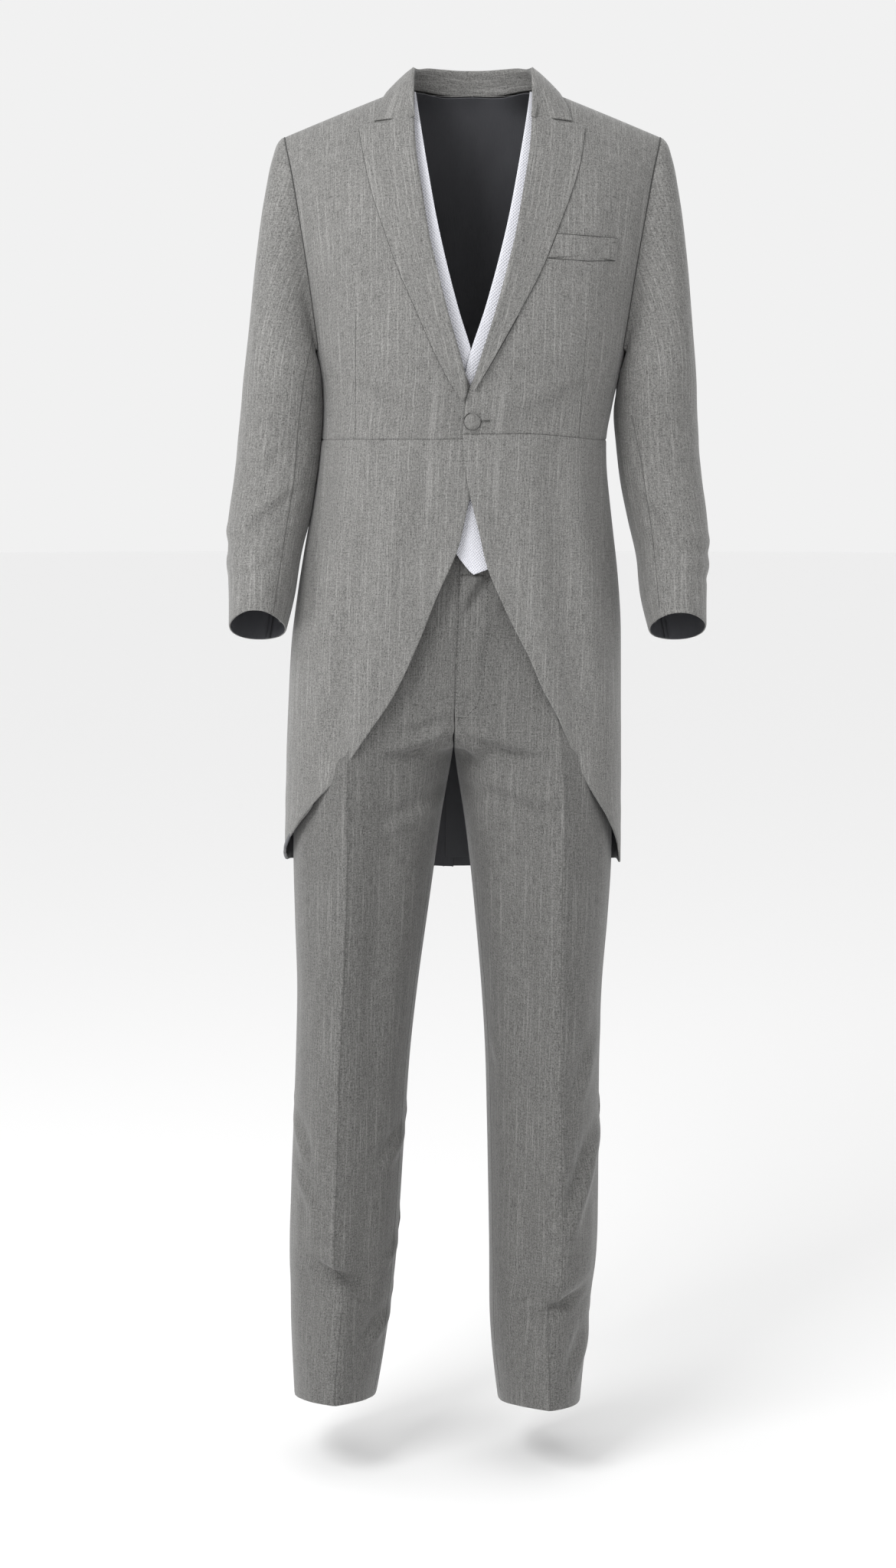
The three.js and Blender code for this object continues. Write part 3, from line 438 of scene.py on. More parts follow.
def forepartGrid(name):
    u = spread(shares(10), 78)
    def pressed(x, z):
        plain = torsoAtX(x, z, False)
        if name == "left":
            return plain
        return np.where((x > 30)[:, None], plain, lifted(x, z, False, -lapDrop(x, z)))
    rows = []
    for place in loopFront:
        z = np.full(11, float(cut["chest"]))
        for _ in range(12):
            x = mix(foreEdge(z, name), place["x"], u)
            z = mix(cut["chest"], shoulderHeight(x), place["share"])
        rows.append(pressed(x, z))
    rows[0][:, 1] -= cut["seam"] / 2
    for level in (-300, -314, -329, -346, -366, cut["waist"] + cut["seam"]):
        share = (cut["chest"] - level) / (cut["chest"] - cut["waist"])
        outer = torsoAtAngle(mix(76, 70, share), level)[0]
        x = mix(foreEdge(level, name), outer, u)
        rows.append(pressed(x, level + waistArch(x, name) * smooth(-320, cut["waist"], level)))
    return np.array(rows)


def backSeamAngle(z):
    t = np.clip((cut["backSeamTop"] - z) / (cut["backSeamTop"] - cut["waist"]), 0, 1)
    return mix(loopSide[-1]["angle"], 169.5, 1 - (1 - t) ** 1.6)


seamRows = [mix(loopSide[-1]["z"], cut["waist"] + cut["seam"], v) for v in shares(7)]


def sidebodyGrid(name):
    def frontSeam(z):
        return mix(76, 70, np.clip((cut["chest"] - z) / (cut["chest"] - cut["waist"]), 0, 1)) + 0.25
    def backSeam(z):
        return backSeamAngle(z) - 0.25
    rows = []
    last = len(loopSide) - 1
    for v in shares(7):
        row = []
        for j, place in enumerate(loopSide):
            z = mix(place["z"], cut["waist"] + cut["seam"], v)
            bulge = place["angle"] - mix(frontSeam(place["z"]), backSeam(place["z"]), j / last)
            inside = 0 if j in (0, last) else bulge * (1 - v) ** 1.5
            row.append(torsoAtAngle(mix(frontSeam(z), backSeam(z), j / last) + inside, z))
        rows.append(row)
    return np.array(rows)


def backGrid(name, lining=False):
    u = shares(8)
    rows = []
    for place in [p for p in loopBack if p["z"] > cut["backSeamTop"] - 4][::-1]:
        x = mix(0.2, place["x"], u)
        neck = 0.93 + 0.07 * np.minimum(1, x / cut["neckHalf"]) ** 2
        rows.append(torsoAtX(x, mix(cut["chest"], shoulderHeight(x), place["share"] * neck), True))
    rows[0][:, 1] += cut["seam"] / 2
    def edge(z):
        if z > cut["waist"]:
            return torsoAtAngle(backSeamAngle(z) + 0.12, z)[0]
        return mix(40, 74, (cut["waist"] - z) / 525) - 0.4
    for level in [*seamRows[1:], -450, -530, -620, -740, -840]:
        rows.append(torsoAtX(mix(0.2, edge(level), u), level, True))
    rows.append(torsoAtX(mix(0.2, edge(-913), u), mix(-913, -910, u), True))
    grid = np.array(rows)
    if name == "left":  # the left tail laps over the right one below the waist
        low = smooth(-392, -425, grid[..., 2]) * (1 - smooth(6, 26, grid[..., 0]))
        grid[..., 0] -= low * 9
        grid[..., 1] += low * (-2.6 if lining else 2.4)
    if not lining:
        return grid
    tail = grid[grid[:, 0, 2] < cut["waist"] - 5]
    tail[-1] = mix(tail[-1], tail[-2], 0.16)
    tail[..., 1] -= cut["woolThick"] + 0.5
    return tail


def skirtGrid(name):
    chart = cutaway[name]
    corner = chart.keys[-1]
    u = shares(12)
    rows = []
    for height in [cut["waist"] - cut["seam"], *chart.keys[1:]]:
        run = (height - cut["waist"]) / (corner - cut["waist"])
        start = float(chart.angle(height))
        foot = mix(corner, hem.z(mix(start, 165, u)), smooth(0, 0.09, u))
        level = mix(cut["waist"] - cut["seam"], foot, run)
        pleat = 180 - angleAtX(mix(40, 74, (cut["waist"] - level) / 525) + 0.4, level)
        angle = mix(start, pleat, u)
        across = torsoAtAngle(np.minimum(angle, 90), level)[:, 0]
        z = level + waistArch(across, name) * (1 - smooth(0, 0.2, run))
        row = torsoAtAngle(angle, z)
        if name == "right":
            near = angle <= 12
            row[near] = lifted(row[near, 0], z[near], False, -lapDrop(row[near, 0], z[near]))
        rows.append(row)
    return np.array(rows)


# Lapel: from under the roll, round it and out to the edge that lies on the chest
lapelCut = dict(
    left=dict(lowest=-334, innermost=0.2, away=3.2),
    right=dict(lowest=-346, innermost=3.0, away=1.2),
    rows=26,
    turn=[(0.6, -1.0), (-0.4, 0.8), (-0.9, 2.8), (-0.5, 4.6), (1.3, 5.7)],  # step out from the roll, lift
    reach=[0.07, 0.16, 0.28, 0.4, 0.47, 0.6, 0.76, 0.88, 0.96, 1],
    # tucked under the collar, then the notch
    top=[-31, -31, -31, -31.5, -36, -36, -36.3, -37.8, -39.4, -40.2],
)


def lapelGrid(name):
    lowest, innermost = lapelCut[name]["lowest"], lapelCut[name]["innermost"]
    rows = []
    for v in shares(lapelCut["rows"]):
        tuck = 1 - smooth(0, 0.022, v)
        start = mix(-31, lowest + 6, v)
        roll = max(float(rollLine.x(start)), innermost)
        calm = mix(1, 0.45, float(smooth(0.8, 1, v)))  # the roll lies flatter towards the button
        row = [lifted(roll + step, start, False, (lift - 1.4 * tuck) * calm)
               for step, lift in lapelCut["turn"]]
        for u, top in zip(lapelCut["reach"], lapelCut["top"]):
            z = mix(top, lowest + 6 * (1 - u), v)
            inside = max(float(rollLine.x(z)), innermost)
            outer = max(float(getattr(lapelEdge, name)(z)), inside + 1.5)
            lift = 2.4 + (3.3 * (1 - u) ** 2.2 - 1.7 * tuck * (u < 0.45)) * calm
            lift += lapelCut[name]["away"] * u * float(smooth(-215, -300, z))  # its edge stands off the chest
            row.append(lifted(mix(inside, outer, u), z, False, lift))
        rows.append(row)
    return np.array(rows)


collarStations = [  # way is -1 at the front and 1 at the back
    dict(way=-1, seamX=69, seamZ=-33, foldX=66, foldRise=2, edgeX=111, edgeZ=-33.5),
    dict(way=-1, seamX=71, seamZ=-14, foldX=66.5, foldRise=10, edgeX=107, edgeZ=-19),
    dict(way=-1, seamX=73, seamZ=2, foldX=66.5, foldRise=14.5, edgeX=102, edgeZ=-7),
    dict(way=-1, seamX=74, seamZ=10.5, foldX=66, foldRise=17, edgeX=98.5, edgeZ=1.5),
    dict(way=0, seamX=74, seamZ=14, foldX=65, foldRise=18, edgeX=96, edgeZ=8),
    dict(way=1, seamX=73, seamZ=12.4, foldX=63.5, foldRise=20.5, edgeX=94.5, edgeZ=2.6),
    dict(way=1, seamX=70, seamZ=11, foldX=60, foldRise=22.5, edgeX=90, edgeZ=-4),
    dict(way=1, seamX=58, seamZ=11, foldX=51, foldRise=25, edgeX=76, edgeZ=-8),
    dict(way=1, seamX=36, seamZ=9, foldX=33, foldRise=28, edgeX=50, edgeZ=-11),
    dict(way=1, seamX=17, seamZ=7.4, foldX=16, foldRise=29.5, edgeX=25, edgeZ=-12.5),
    dict(way=1, seamX=0, seamZ=7, foldX=0, foldRise=30, edgeX=0, edgeZ=-13),
]


def collarGrid():
    half = []
    for row in collarStations:
        back = row["way"] > 0
        seam = lifted(row["seamX"], row["seamZ"], back, 4.2)
        fold = np.array([row["foldX"], seam[1] - 2.5 * row["way"], seam[2] + row["foldRise"]])
        edge = lifted(row["edgeX"], row["edgeZ"], back, 3.3)
        away = (edge - fold) * (1, 1, 0)
        away /= np.linalg.norm(away)
        turn = fold + away * 4.6 + (0, 0, -0.6)
        belly = mix(turn, edge, 0.5) + away * 0.6 + (0, 0, 0.6)
        half.append([seam, mix(seam, fold, 0.6), fold, fold + away * 2 + (0, 0, 1.2), turn, belly, edge])
    half = np.array(half)
    return np.concatenate([half, half[-2::-1] * (-1, 1, 1)])


def weltGrid():
    rows = []
    for v in shares(2):
        u = shares(6)
        z = mix(mix(-161, -164, u), mix(-187.5, -188, u) + 2.5 * np.sin(math.pi * u), v)
        rows.append(lifted(mix(lapelEdge.left(z) + 0.8, mix(164, 161, v), u), z, False, 1.7))
    return np.array(rows)


sleeveChart = Chart("z centre half depth middle tip", [
    (-318, 216.5, 46.5, 66, -2, 0), (-351, 218, 47.5, 64, 2, 0), (-395, 221.5, 48, 61, 6, 0.06),
    (-436, 226, 47.5, 58, 2, 0.16), (-475, 232.3, 46, 56, -9, 0.28), (-521, 238.3, 42, 54, -26, 0.32),
    (-562, 238.3, 38.5, 52, -43, 0.34), (-604, 242.5, 33, 50, -60, 0.34),
])
# Height where each sleeve leaves the body, its reach inwards above that, and the rise of its cuff in front
sleeveOpens = {1: dict(low=-352, reach=1.5, rise=4), -1: dict(low=-492, reach=7, rise=7)}


def rounded(value, power):
    return np.sign(value) * np.abs(value) ** power


def sleeveRing(phi, z, side):
    turn = math.radians(phi)
    middle = sleeveChart.middle(z)
    y = middle - sleeveChart.depth(z) * rounded(math.cos(turn), 2 / 2.2)
    opens = sleeveOpens[side]
    rise = opens["rise"] * smooth(-540, -604, z) * max(0, math.cos(turn)) ** 3
    height = z - sleeveChart.tip(z) * (y - middle) + rise
    free = sleeveChart.centre(z) + sleeveChart.half(z) * rounded(math.sin(turn), 2 / 2.2)
    face = body.back(height) if y > cut["middle"] else body.front(height)
    share = np.clip(abs((y - cut["middle"]) / (face - cut["middle"])), 0, 1)
    square = body.square(height)
    near = body.half(height) * (1 - share**square) ** (1 / square)
    drift = armLean.x(height) - bodyLean.x(height) if side < 0 else 0
    inward = math.sin(turn) < 0
    held = float(smooth(opens["low"] - 60, opens["low"], height))
    free -= opens["reach"] * inward * held * abs(math.sin(turn))
    clear = mix(3.4, 0.9, float(smooth(opens["low"] - 14, opens["low"], height)))
    return np.array([max(free, near + drift + clear), y, height], float)


loopPoints = np.array([place["point"] for place in loop])
loopLengths = np.concatenate([[0], np.cumsum(np.linalg.norm(np.diff(loopPoints, axis=0), axis=1))])
loopLowest = len(loopFront) + 1


# Way round the arm that a length along the armhole stands for
def loopAngle(length):
    lowest, whole = loopLengths[loopLowest], loopLengths[-1]
    if length <= lowest:
        return 90 - 180 * length / lowest
    return -90 - 180 * (length - lowest) / (whole - lowest)


loopAngles = [loopAngle(length) for length in loopLengths]


# Way out of the body at each place of the armhole
def loopNormal(place):
    if "x" not in place:
        turn = math.radians(place["angle"])
        return np.array([math.sin(turn), -math.cos(turn), 0])
    back = any(place is other for other in loopBack)
    way = lifted(place["x"], place["z"], back, 1) - lifted(place["x"], place["z"], back, 0)
    return way / np.linalg.norm(way)


loopNormals = [loopNormal(place) for place in loop]


def sleeveLine(index, side):
    phi = loopAngles[index]
    end = sleeveRing(phi, cut["bicep"], side)
    up = math.sin(math.radians(phi))
    low = max(0, -up)
    out = np.array([1, -0.3 * math.cos(math.radians(phi)), -0.14 + 0.62 * low * low])
    out /= np.linalg.norm(out)
    start = loopPoints[index] + out * 0.6
    first = start + out * (21 - 14 * low)
    rise = (0.47 - 0.05 * low) * np.linalg.norm(end - start)
    second = end + (-0.12 * max(0, up) * rise, 0, rise)
    cap = [start * (1 - t) ** 3 + first * 3 * t * (1 - t) ** 2 + second * 3 * t * t * (1 - t) + end * t**3
           for t in (0, 0.1, 0.24, 0.42, 0.62, 0.82)]
    tube = [sleeveRing(phi, z, side) for z in (-318, -351, -395, -436, -475, -521, -562, -604)]
    tuck = loopPoints[index] - out * 1.6 - loopNormals[index] * 2.2  # the seam's edge lies inside the armhole
    return np.array([tuck] + cap + tube)


def sleeveGrid(part, side):
    frontSeam, backSeam = 11, 17
    if part == "top":
        indices = [*range(backSeam, len(loop)), *range(1, frontSeam + 1)]
    else:
        indices = list(range(frontSeam, backSeam + 1))
    lines = [sleeveLine(i, side) for i in indices]
    lines[0] = mix(lines[0], lines[1], 0.014)
    lines[-1] = mix(lines[-1], lines[-2], 0.014)
    return np.stack(lines, 1)


vestEdge = Chart("z x", [
    (10, 66), (-36, 59), (-109, 46.5), (-160, 36.5), (-202, 26), (-251, 12.5), (-290, 1), (-312, -7),
    (-345, -9), (-540, -9),
])
vestArm = Chart("z x", [(-10, 148), (-60, 143), (-140, 138), (-210, 141), (-262, 152), (-300, 162)])
vestHem = dict(
    left=Chart("x z", [(-9, -510), (12, -541), (30, -535), (70, -522), (150, -514), (190, -514)]),
    right=Chart("x z", [(-12, -498), (8, -508), (30, -512), (70, -514), (190, -514)]),
)
vestSide, vestArmFoot = 86, -300


def vestFrontGrid(name):
    inset = cut["inset"]
    u = spread(np.array([0, 0.088, 0.2, 0.33, 0.46, 0.6, 0.73, 0.87, 1]), 80)
    rows = []
    for share in (1, 0.97, 0.9, 0.8, 0.66, 0.5, 0.34, 0.18, 0):
        z = np.full(9, float(vestArmFoot))
        for _ in range(12):
            side = mix(torsoAtAngle(vestSide, z, inset)[:, 0], vestArm.x(z), smooth(0, 0.14, share))
            x = mix(vestEdge.x(z), side, u)
            z = mix(vestArmFoot, shoulderHeight(x) - inset, share)
        rows.append(torsoAtX(x, z, False, inset))
    for run in (0.12, 0.3, 0.5, 0.7, 0.88, 1):
        z = np.full(9, mix(vestArmFoot, -514, run))
        for _ in range(6):
            x = mix(vestEdge.x(z), torsoAtAngle(vestSide, z, inset)[:, 0], u)
            z = mix(vestArmFoot, vestHem[name].z(x), run)
        rows.append(torsoAtX(x, z, False, inset))
    grid = np.array(rows)
    under = 2.8 * (1 - smooth(14, 42, grid[..., 0])) if name == "right" else 0
    grid[..., 1] += under - np.where(grid[..., 1] > 2, cut["seam"], 0)
    return grid


def vestBackGrid():
    inset = cut["inset"]
    u = mix(-1, 1, shares(12))
    wide = np.sign(u) * spread(np.abs(u), 80)
    rows = []
    for share in (1, 0.94, 0.84, 0.7, 0.5, 0.25, 0):
        z = np.full(13, float(vestArmFoot))
        for _ in range(12):
            side = mix(torsoAtAngle(vestSide - 1, z, inset)[:, 0], vestArm.x(z), smooth(0, 0.14, share))
            x = side * wide
            neck = 0.945 + 0.055 * np.minimum(1, np.abs(x) / 66) ** 2
            z = mix(vestArmFoot, shoulderHeight(x) - inset, share * neck)
        rows.append(torsoAtX(x, z, True, inset))
    for z in (-350, -400, -450, -514):
        rows.append(torsoAtX(torsoAtAngle(vestSide - 1, z, inset)[0] * wide, z, True, inset))
    return np.array(rows)


leg = Chart("z inner crease outer front back", [
    (-541, 0.2, 88, 168, -101, 105), (-600, 0.2, 98, 176, -104, 116), (-650, 0.2, 107, 181, -105, 120),
    (-700, 0.2, 115, 184, -105, 116), (-746, 0.4, 121, 186, -102, 110), (-800, 9, 123, 188, -101, 104),
    (-891, 21.5, 123.5, 189, -100, 97), (-990, 33, 125, 184, -98, 91), (-1045, 39, 126, 182, -96, 87),
    (-1125, 45.5, 129, 182, -93, 83), (-1235, 50.5, 133, 184.5, -90, 78), (-1352, 55.5, 137, 186, -86, 75),
    (-1400, 58, 133, 183, -85, 75), (-1459, 62.5, 133.5, 179.5, -86, 74), (-1542, 74, 134.5, 174, -88, 76),
])
crotch = Chart("z front back", [
    (-541, -102, 106), (-600, -105, 118), (-650, -105, 121), (-690, -103, 112), (-715, -98, 95),
    (-732, -86, 71), (-741, -62, 44), (-746, -24, 12), (-760, 5, 5),
])
legRows = [-541, -600, -650, -690, -715, -732, -741, -746, -775, -820, -880, -950, -1030, -1110, -1200,
           -1290, -1345, -1372, -1400, -1440, -1490, -1542]
legBreak = dict(right=(-1376, 7, 16, -0.25), left=(-1406, 8, 17, 0.25))  # height, depth, spread, slant


# Distance of the pressed crease from the middle: the right leg's leans inwards at its foot
def creaseOut(name, z):
    if name == "left":
        return leg.crease(z) + 3 * smooth(-650, -900, z)
    return leg.crease(z) - 3 * smooth(-650, -900, z) - 6.5 * smooth(-1050, -1400, z)


def legPoint(name, z, part, back):
    inseam = (crotch.back if back else crotch.front)(z)
    face = (leg.back if back else leg.front)(z)
    crease = creaseOut(name, z)
    inner, outer = leg.inner(z), leg.outer(z)
    near = np.radians(180 * np.minimum(part, 0.5))
    far = np.radians(180 * (np.maximum(part, 0.5) - 0.5))
    cos, sin = np.maximum(0, np.cos(near)), np.sin(near)
    inside = part < 0.5
    x = np.where(inside, crease - (crease - inner) * cos ** (2 / 2.3),
                 crease + (outer - crease) * np.sin(far) ** (2 / 2.1))
    y = np.where(inside, inseam + (face - inseam) * sin ** (2 / 2.3),
                 cut["middle"] + (face - cut["middle"]) * np.maximum(0, np.cos(far)) ** (2 / 2.1))
    ridge = 5 * smooth(-680, -880, z) * np.exp(-(((x - crease) / 10) ** 2))
    y = y + (ridge if back else -ridge)
    if not back:
        height, deep, tall, slant = legBreak[name]
        level = height + slant * (x - crease)
        across = smooth(cut["middle"], face * 0.7, y)
        y = y + across * deep * np.exp(-(((z - level) / tall) ** 2))
        y = y - across * deep * 0.5 * np.exp(-(((z - level - 30) / tall) ** 2))
    slope = -0.2 * (y - cut["middle"]) + (-4 if name == "left" else 2)
    return np.stack([x, y, z + smooth(-1400, cut["legFoot"], z) * slope], -1)


def legGrid(name, back):
    parts = shares(8)[::-1] if back else shares(8)
    rows = []
    for z in legRows:
        row = legPoint(name, np.full(9, float(z)), parts, back)
        row[parts == 1, 1] += 0.2 if back else -0.2
        if z < cut["fork"] + 1:
            row[parts == 0, 1] += 0.2 if back else -0.2
        rows.append(row)
    return np.array(rows)


def bandGrid():
    rows = []
    for z, grow in ((cut["bandTop"], 3), (-520, 1), (cut["bandFoot"], 0)):
        turn = np.radians(mix(0.02, 359.98, shares(36)))
        face = np.where(np.cos(turn) > 0, -102.5 + grow, 105 - grow)
        power = 2 / 2.35
        rows.append(np.stack([(167 - grow) * rounded(np.sin(turn), power),
                              face * np.abs(rounded(np.cos(turn), power)), np.full(37, float(z))], -1))
    return np.array(rows)


def flyGrid():
    rows = []
    for z in (-542, -600, -650, -690, -703):
        x = mix(0.5, mix(34, 12, float(smooth(-650, -703, z))), shares(4))
        share = np.clip((leg.crease(z) - np.maximum(x, 4)) / (leg.crease(z) - leg.inner(z)), 0, 1)
        turn = np.arccos(share ** (2.3 / 2))
        y = crotch.front(z) + (leg.front(z) - crotch.front(z)) * np.sin(turn) ** (2 / 2.3)
        rows.append(np.stack([x, y + mix(-2.6, 0.5, shares(4) ** 1.5), np.full(5, float(z))], -1))
    return np.array(rows)


print("cut is drafted")


# Cubic curve through the rows of a coarse grid, read at even steps and close to the ends and creases
def refine(grid, step, creases=(), corners=()):
    for axis in (0, 1):
        grid = np.moveaxis(grid, axis, 0)
        gap = np.linalg.norm(np.diff(grid, axis=0), axis=-1).mean(1)
        knots = np.concatenate([[0], np.cumsum(gap)])
        whole = knots[-1]
        even = np.linspace(0, whole, max(2, round(whole / step)) + 1)
        close = [0, 0.7, 1.8, whole - 1.8, whole - 0.7, whole]
        if whole > 12:
            even = np.concatenate([close, even[(even > 3) & (even < whole - 3)]])
        for crease in creases if axis == 1 else ():
            line = knots[crease]
            apart = even[np.abs(even - line) > 3.4]
            even = np.concatenate([apart, line + np.array([-2.4, -0.9, 0, 0.9, 2.4])])
        at = np.unique(np.round(even, 4))
        h = gap[:, None, None]
        slope = np.diff(grid, axis=0) / h
        tangent = np.empty_like(grid)
        tangent[1:-1] = (h[1:] * slope[:-1] + h[:-1] * slope[1:]) / (h[1:] + h[:-1])
        tangent[0], tangent[-1] = 1.5 * slope[0] - 0.5 * tangent[1], 1.5 * slope[-1] - 0.5 * tangent[-2]
        leaving, arriving = tangent.copy(), tangent.copy()
        for corner in corners if axis == 1 else ():
            leaving[corner], arriving[corner] = slope[corner], slope[corner - 1]
        i = np.clip(np.searchsorted(knots, at, side="right") - 1, 0, len(gap) - 1)
        t = ((at - knots[i]) / gap[i])[:, None, None]
        grid = ((2 * t**3 - 3 * t**2 + 1) * grid[i] + (t**3 - 2 * t**2 + t) * h[i] * leaving[i]
                + (3 * t**2 - 2 * t**3) * grid[i + 1] + (t**3 - t**2) * h[i] * arriving[i + 1])
        grid = np.moveaxis(grid, 0, axis)
    return grid


def arcs(grid, axis):
    steps = np.linalg.norm(np.diff(grid, axis=axis), axis=-1)
    start = np.zeros_like(np.take(steps, [0], axis=axis))
    return np.cumsum(np.concatenate([start, steps], axis=axis), axis=axis)


def normalsOf(grid, axis):
    down, across = np.gradient(grid, axis=0), np.gradient(grid, axis=1)
    normal = np.cross(across, down)
    normal /= np.linalg.norm(normal, axis=-1, keepdims=True) + 1e-12
    vote = (normal[..., 0] * (grid[..., 0] - axis) + normal[..., 1] * grid[..., 1]).sum()
    return (normal, 1) if vote > 0 else (-normal, -1)


# Height of a set of folds at seen points: each is a path with its height, width and fade at the ends
def foldField(folds, across, up, strength=1.0):
    total = np.zeros_like(across)
    for path, height, width in folds:
        path = np.array(path, float)
        lengths = np.concatenate([[0], np.cumsum(np.linalg.norm(np.diff(path, axis=0), axis=1))])
        nearest = np.full(across.shape, 1e9)
        place = np.zeros_like(across)
        for a, b, run in zip(path[:-1], path[1:], lengths):
            way = b - a
            t = np.clip(((across - a[0]) * way[0] + (up - a[1]) * way[1]) / (way @ way), 0, 1)
            far = np.hypot(across - a[0] - t * way[0], up - a[1] - t * way[1])
            closer = far < nearest
            nearest = np.where(closer, far, nearest)
            place = np.where(closer, (run + t * math.sqrt(way @ way)) / lengths[-1], place)
        fade = np.sin(math.pi * np.clip(place * 0.86 + 0.07, 0, 1)) ** 0.8
        total += strength * height * fade * np.exp(-((nearest / width) ** 2))
    return total


def meshOf(name, points, faces, materials, uv=None, slots=None):
    mesh = bpy.data.meshes.new(name)
    points, faces = np.asarray(points, np.float32), np.asarray(faces, np.int32)
    size = faces.shape[1]
    mesh.vertices.add(len(points))
    mesh.vertices.foreach_set("co", points.ravel())
    mesh.loops.add(faces.size)
    mesh.loops.foreach_set("vertex_index", faces.ravel())
    mesh.polygons.add(len(faces))
    mesh.polygons.foreach_set("loop_start", np.arange(0, faces.size, size, dtype=np.int32))
    for material in materials:
        mesh.materials.append(material)
    if slots is not None:
        mesh.polygons.foreach_set("material_index", np.asarray(slots, np.int32))
    mesh.polygons.foreach_set("use_smooth", np.ones(len(faces), bool))
    mesh.update(calc_edges=True)
    if uv is not None:
        layer = mesh.uv_layers.new(name="cloth")
        layer.data.foreach_set("uv", np.asarray(uv, np.float32)[faces.ravel()].ravel())
    made = bpy.data.objects.new(name, mesh)
    scene.collection.objects.link(made)
    return made


# Edge of a cloth wall, in millimetres; its roll takes rollMost of the thickness and no more
edgeCut = dict(rollReach=1.1, rollMost=0.45, tuckDeep=4.5, runsUnder=2.2)


# One cloth wall with its folds, edges and cloth map, made from a coarse grid
def panel(node, coarse, side, thick, outside, inside, slot, step=4.2, lean=bodyLean, axis=0,
          relief=None, seams="", ownGrain=False, creases=(), corners=(),
          grainFrom=0.0, grainRound=None, edgeRoll=0.6):
    grid = refine(coarse, step, creases, corners)
    rows, columns = grid.shape[:2]
    normal, facing = normalsOf(grid, axis)
    across, down = arcs(grid, 1), arcs(grid, 0)
    straight = round(grainFrom * (columns - 1))  # the column that the grain follows
    uv = np.stack([across - across[:, straight:straight + 1], down], -1) / 1000
    if not ownGrain:
        uv += np.stack([grid[:, straight:straight + 1, 0] + 0 * across,
                        -grid[:1, :, 2] + 0 * down], -1) / 1000
    if grainRound:
        uv[..., 0] = grainRound(grid) / 1000
    turned = np.zeros((rows, columns))
    for distance in (down, down[-1:] - down, across, across[:, -1:] - across):
        turned += 0.5 * np.exp(-((distance / edgeCut["rollReach"]) ** 2))
    turned = np.minimum(turned, min(edgeRoll, thick * edgeCut["rollMost"]))
    seen = np.stack([grid[..., 0] * side + lean.x(grid[..., 2]), grid[..., 1], grid[..., 2]], -1)
    raised = relief(seen, side) if relief else np.zeros((rows, columns))
    depth = np.full((rows, columns), float(thick))
    for edge, part in (("t", (0, ...)), ("b", (-1, ...)), ("l", (..., 0)), ("r", (..., -1))):
        if edge in seams:
            depth[part] = edgeCut["tuckDeep"]  # the seam's allowance, folded in
    outer = grid + normal * (raised - turned)[..., None]
    inner = grid + normal * (raised - depth)[..., None]
    for edge, last, before in (("t", (0, ...), (2, ...)), ("b", (-1, ...), (-3, ...)),
                               ("l", (..., 0, slice(None)), (..., 2, slice(None))),
                               ("r", (..., -1, slice(None)), (..., -3, slice(None)))):
        if edge in seams:  # and runs on under the piece it is sewn to
            beyond = grid[last] - grid[before]
            length = np.linalg.norm(beyond, axis=-1, keepdims=True) + 1e-9
            inner[last] += edgeCut["runsUnder"] * beyond / length
    points = np.concatenate([outer.reshape(-1, 3), inner.reshape(-1, 3)])
    points = np.stack([points[:, 0] * side + lean.x(points[:, 2]), points[:, 1], points[:, 2]], -1) / 1000
    index = np.arange(rows * columns).reshape(rows, columns)
    a, b, c, d = index[:-1, :-1], index[:-1, 1:], index[1:, 1:], index[1:, :-1]
    face = np.stack([a, b, c, d], -1).reshape(-1, 4)
    below = rows * columns
    back = np.stack([a, d, c, b], -1).reshape(-1, 4) + below
    ring = np.concatenate([index[0, :-1], index[:-1, -1], index[-1, :0:-1], index[:0:-1, 0]])
    after = np.roll(ring, -1)
    rim = np.stack([after, ring, ring + below, after + below], -1)
    faces = np.concatenate([face, back, rim])
    if facing * side < 0:
        faces = faces[:, ::-1]
    slots = np.concatenate([np.zeros(len(face)), np.ones(len(back)), np.zeros(len(rim))])
    piece = meshOf(node, points, faces, [outside, inside], np.concatenate([uv.reshape(-1, 2)] * 2), slots)
    piece.name = node + "_cloth"
    finishPiece(piece, slot, node)
    diagonals = np.cross(grid[1:, 1:] - grid[:-1, :-1], grid[1:, :-1] - grid[:-1, 1:])
    quads = np.linalg.norm(diagonals, axis=-1) / 2
    area = quads.sum() / 1e6
    flat = np.ptp(uv[..., 0]), np.ptp(uv[..., 1])
    flat = [float(size) * max(1, math.sqrt(area / (flat[0] * flat[1]))) for size in flat]


def finishPiece(piece, slot, *nodes):
    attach(piece, "root")
    if nodes:
        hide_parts(*nodes)


print("tools are ready")

sides = (("left", 1), ("right", -1))


# A fold seen from the front: its height and width, then its path in millimetres (across, up)
def fold(height, width, *path):
    return path, height, width


def facing(seen, forward):  # 1 on cloth that faces the front, or the back where forward is -1
    depth = -seen[..., 1] * forward
    return smooth(-15, 35, depth)


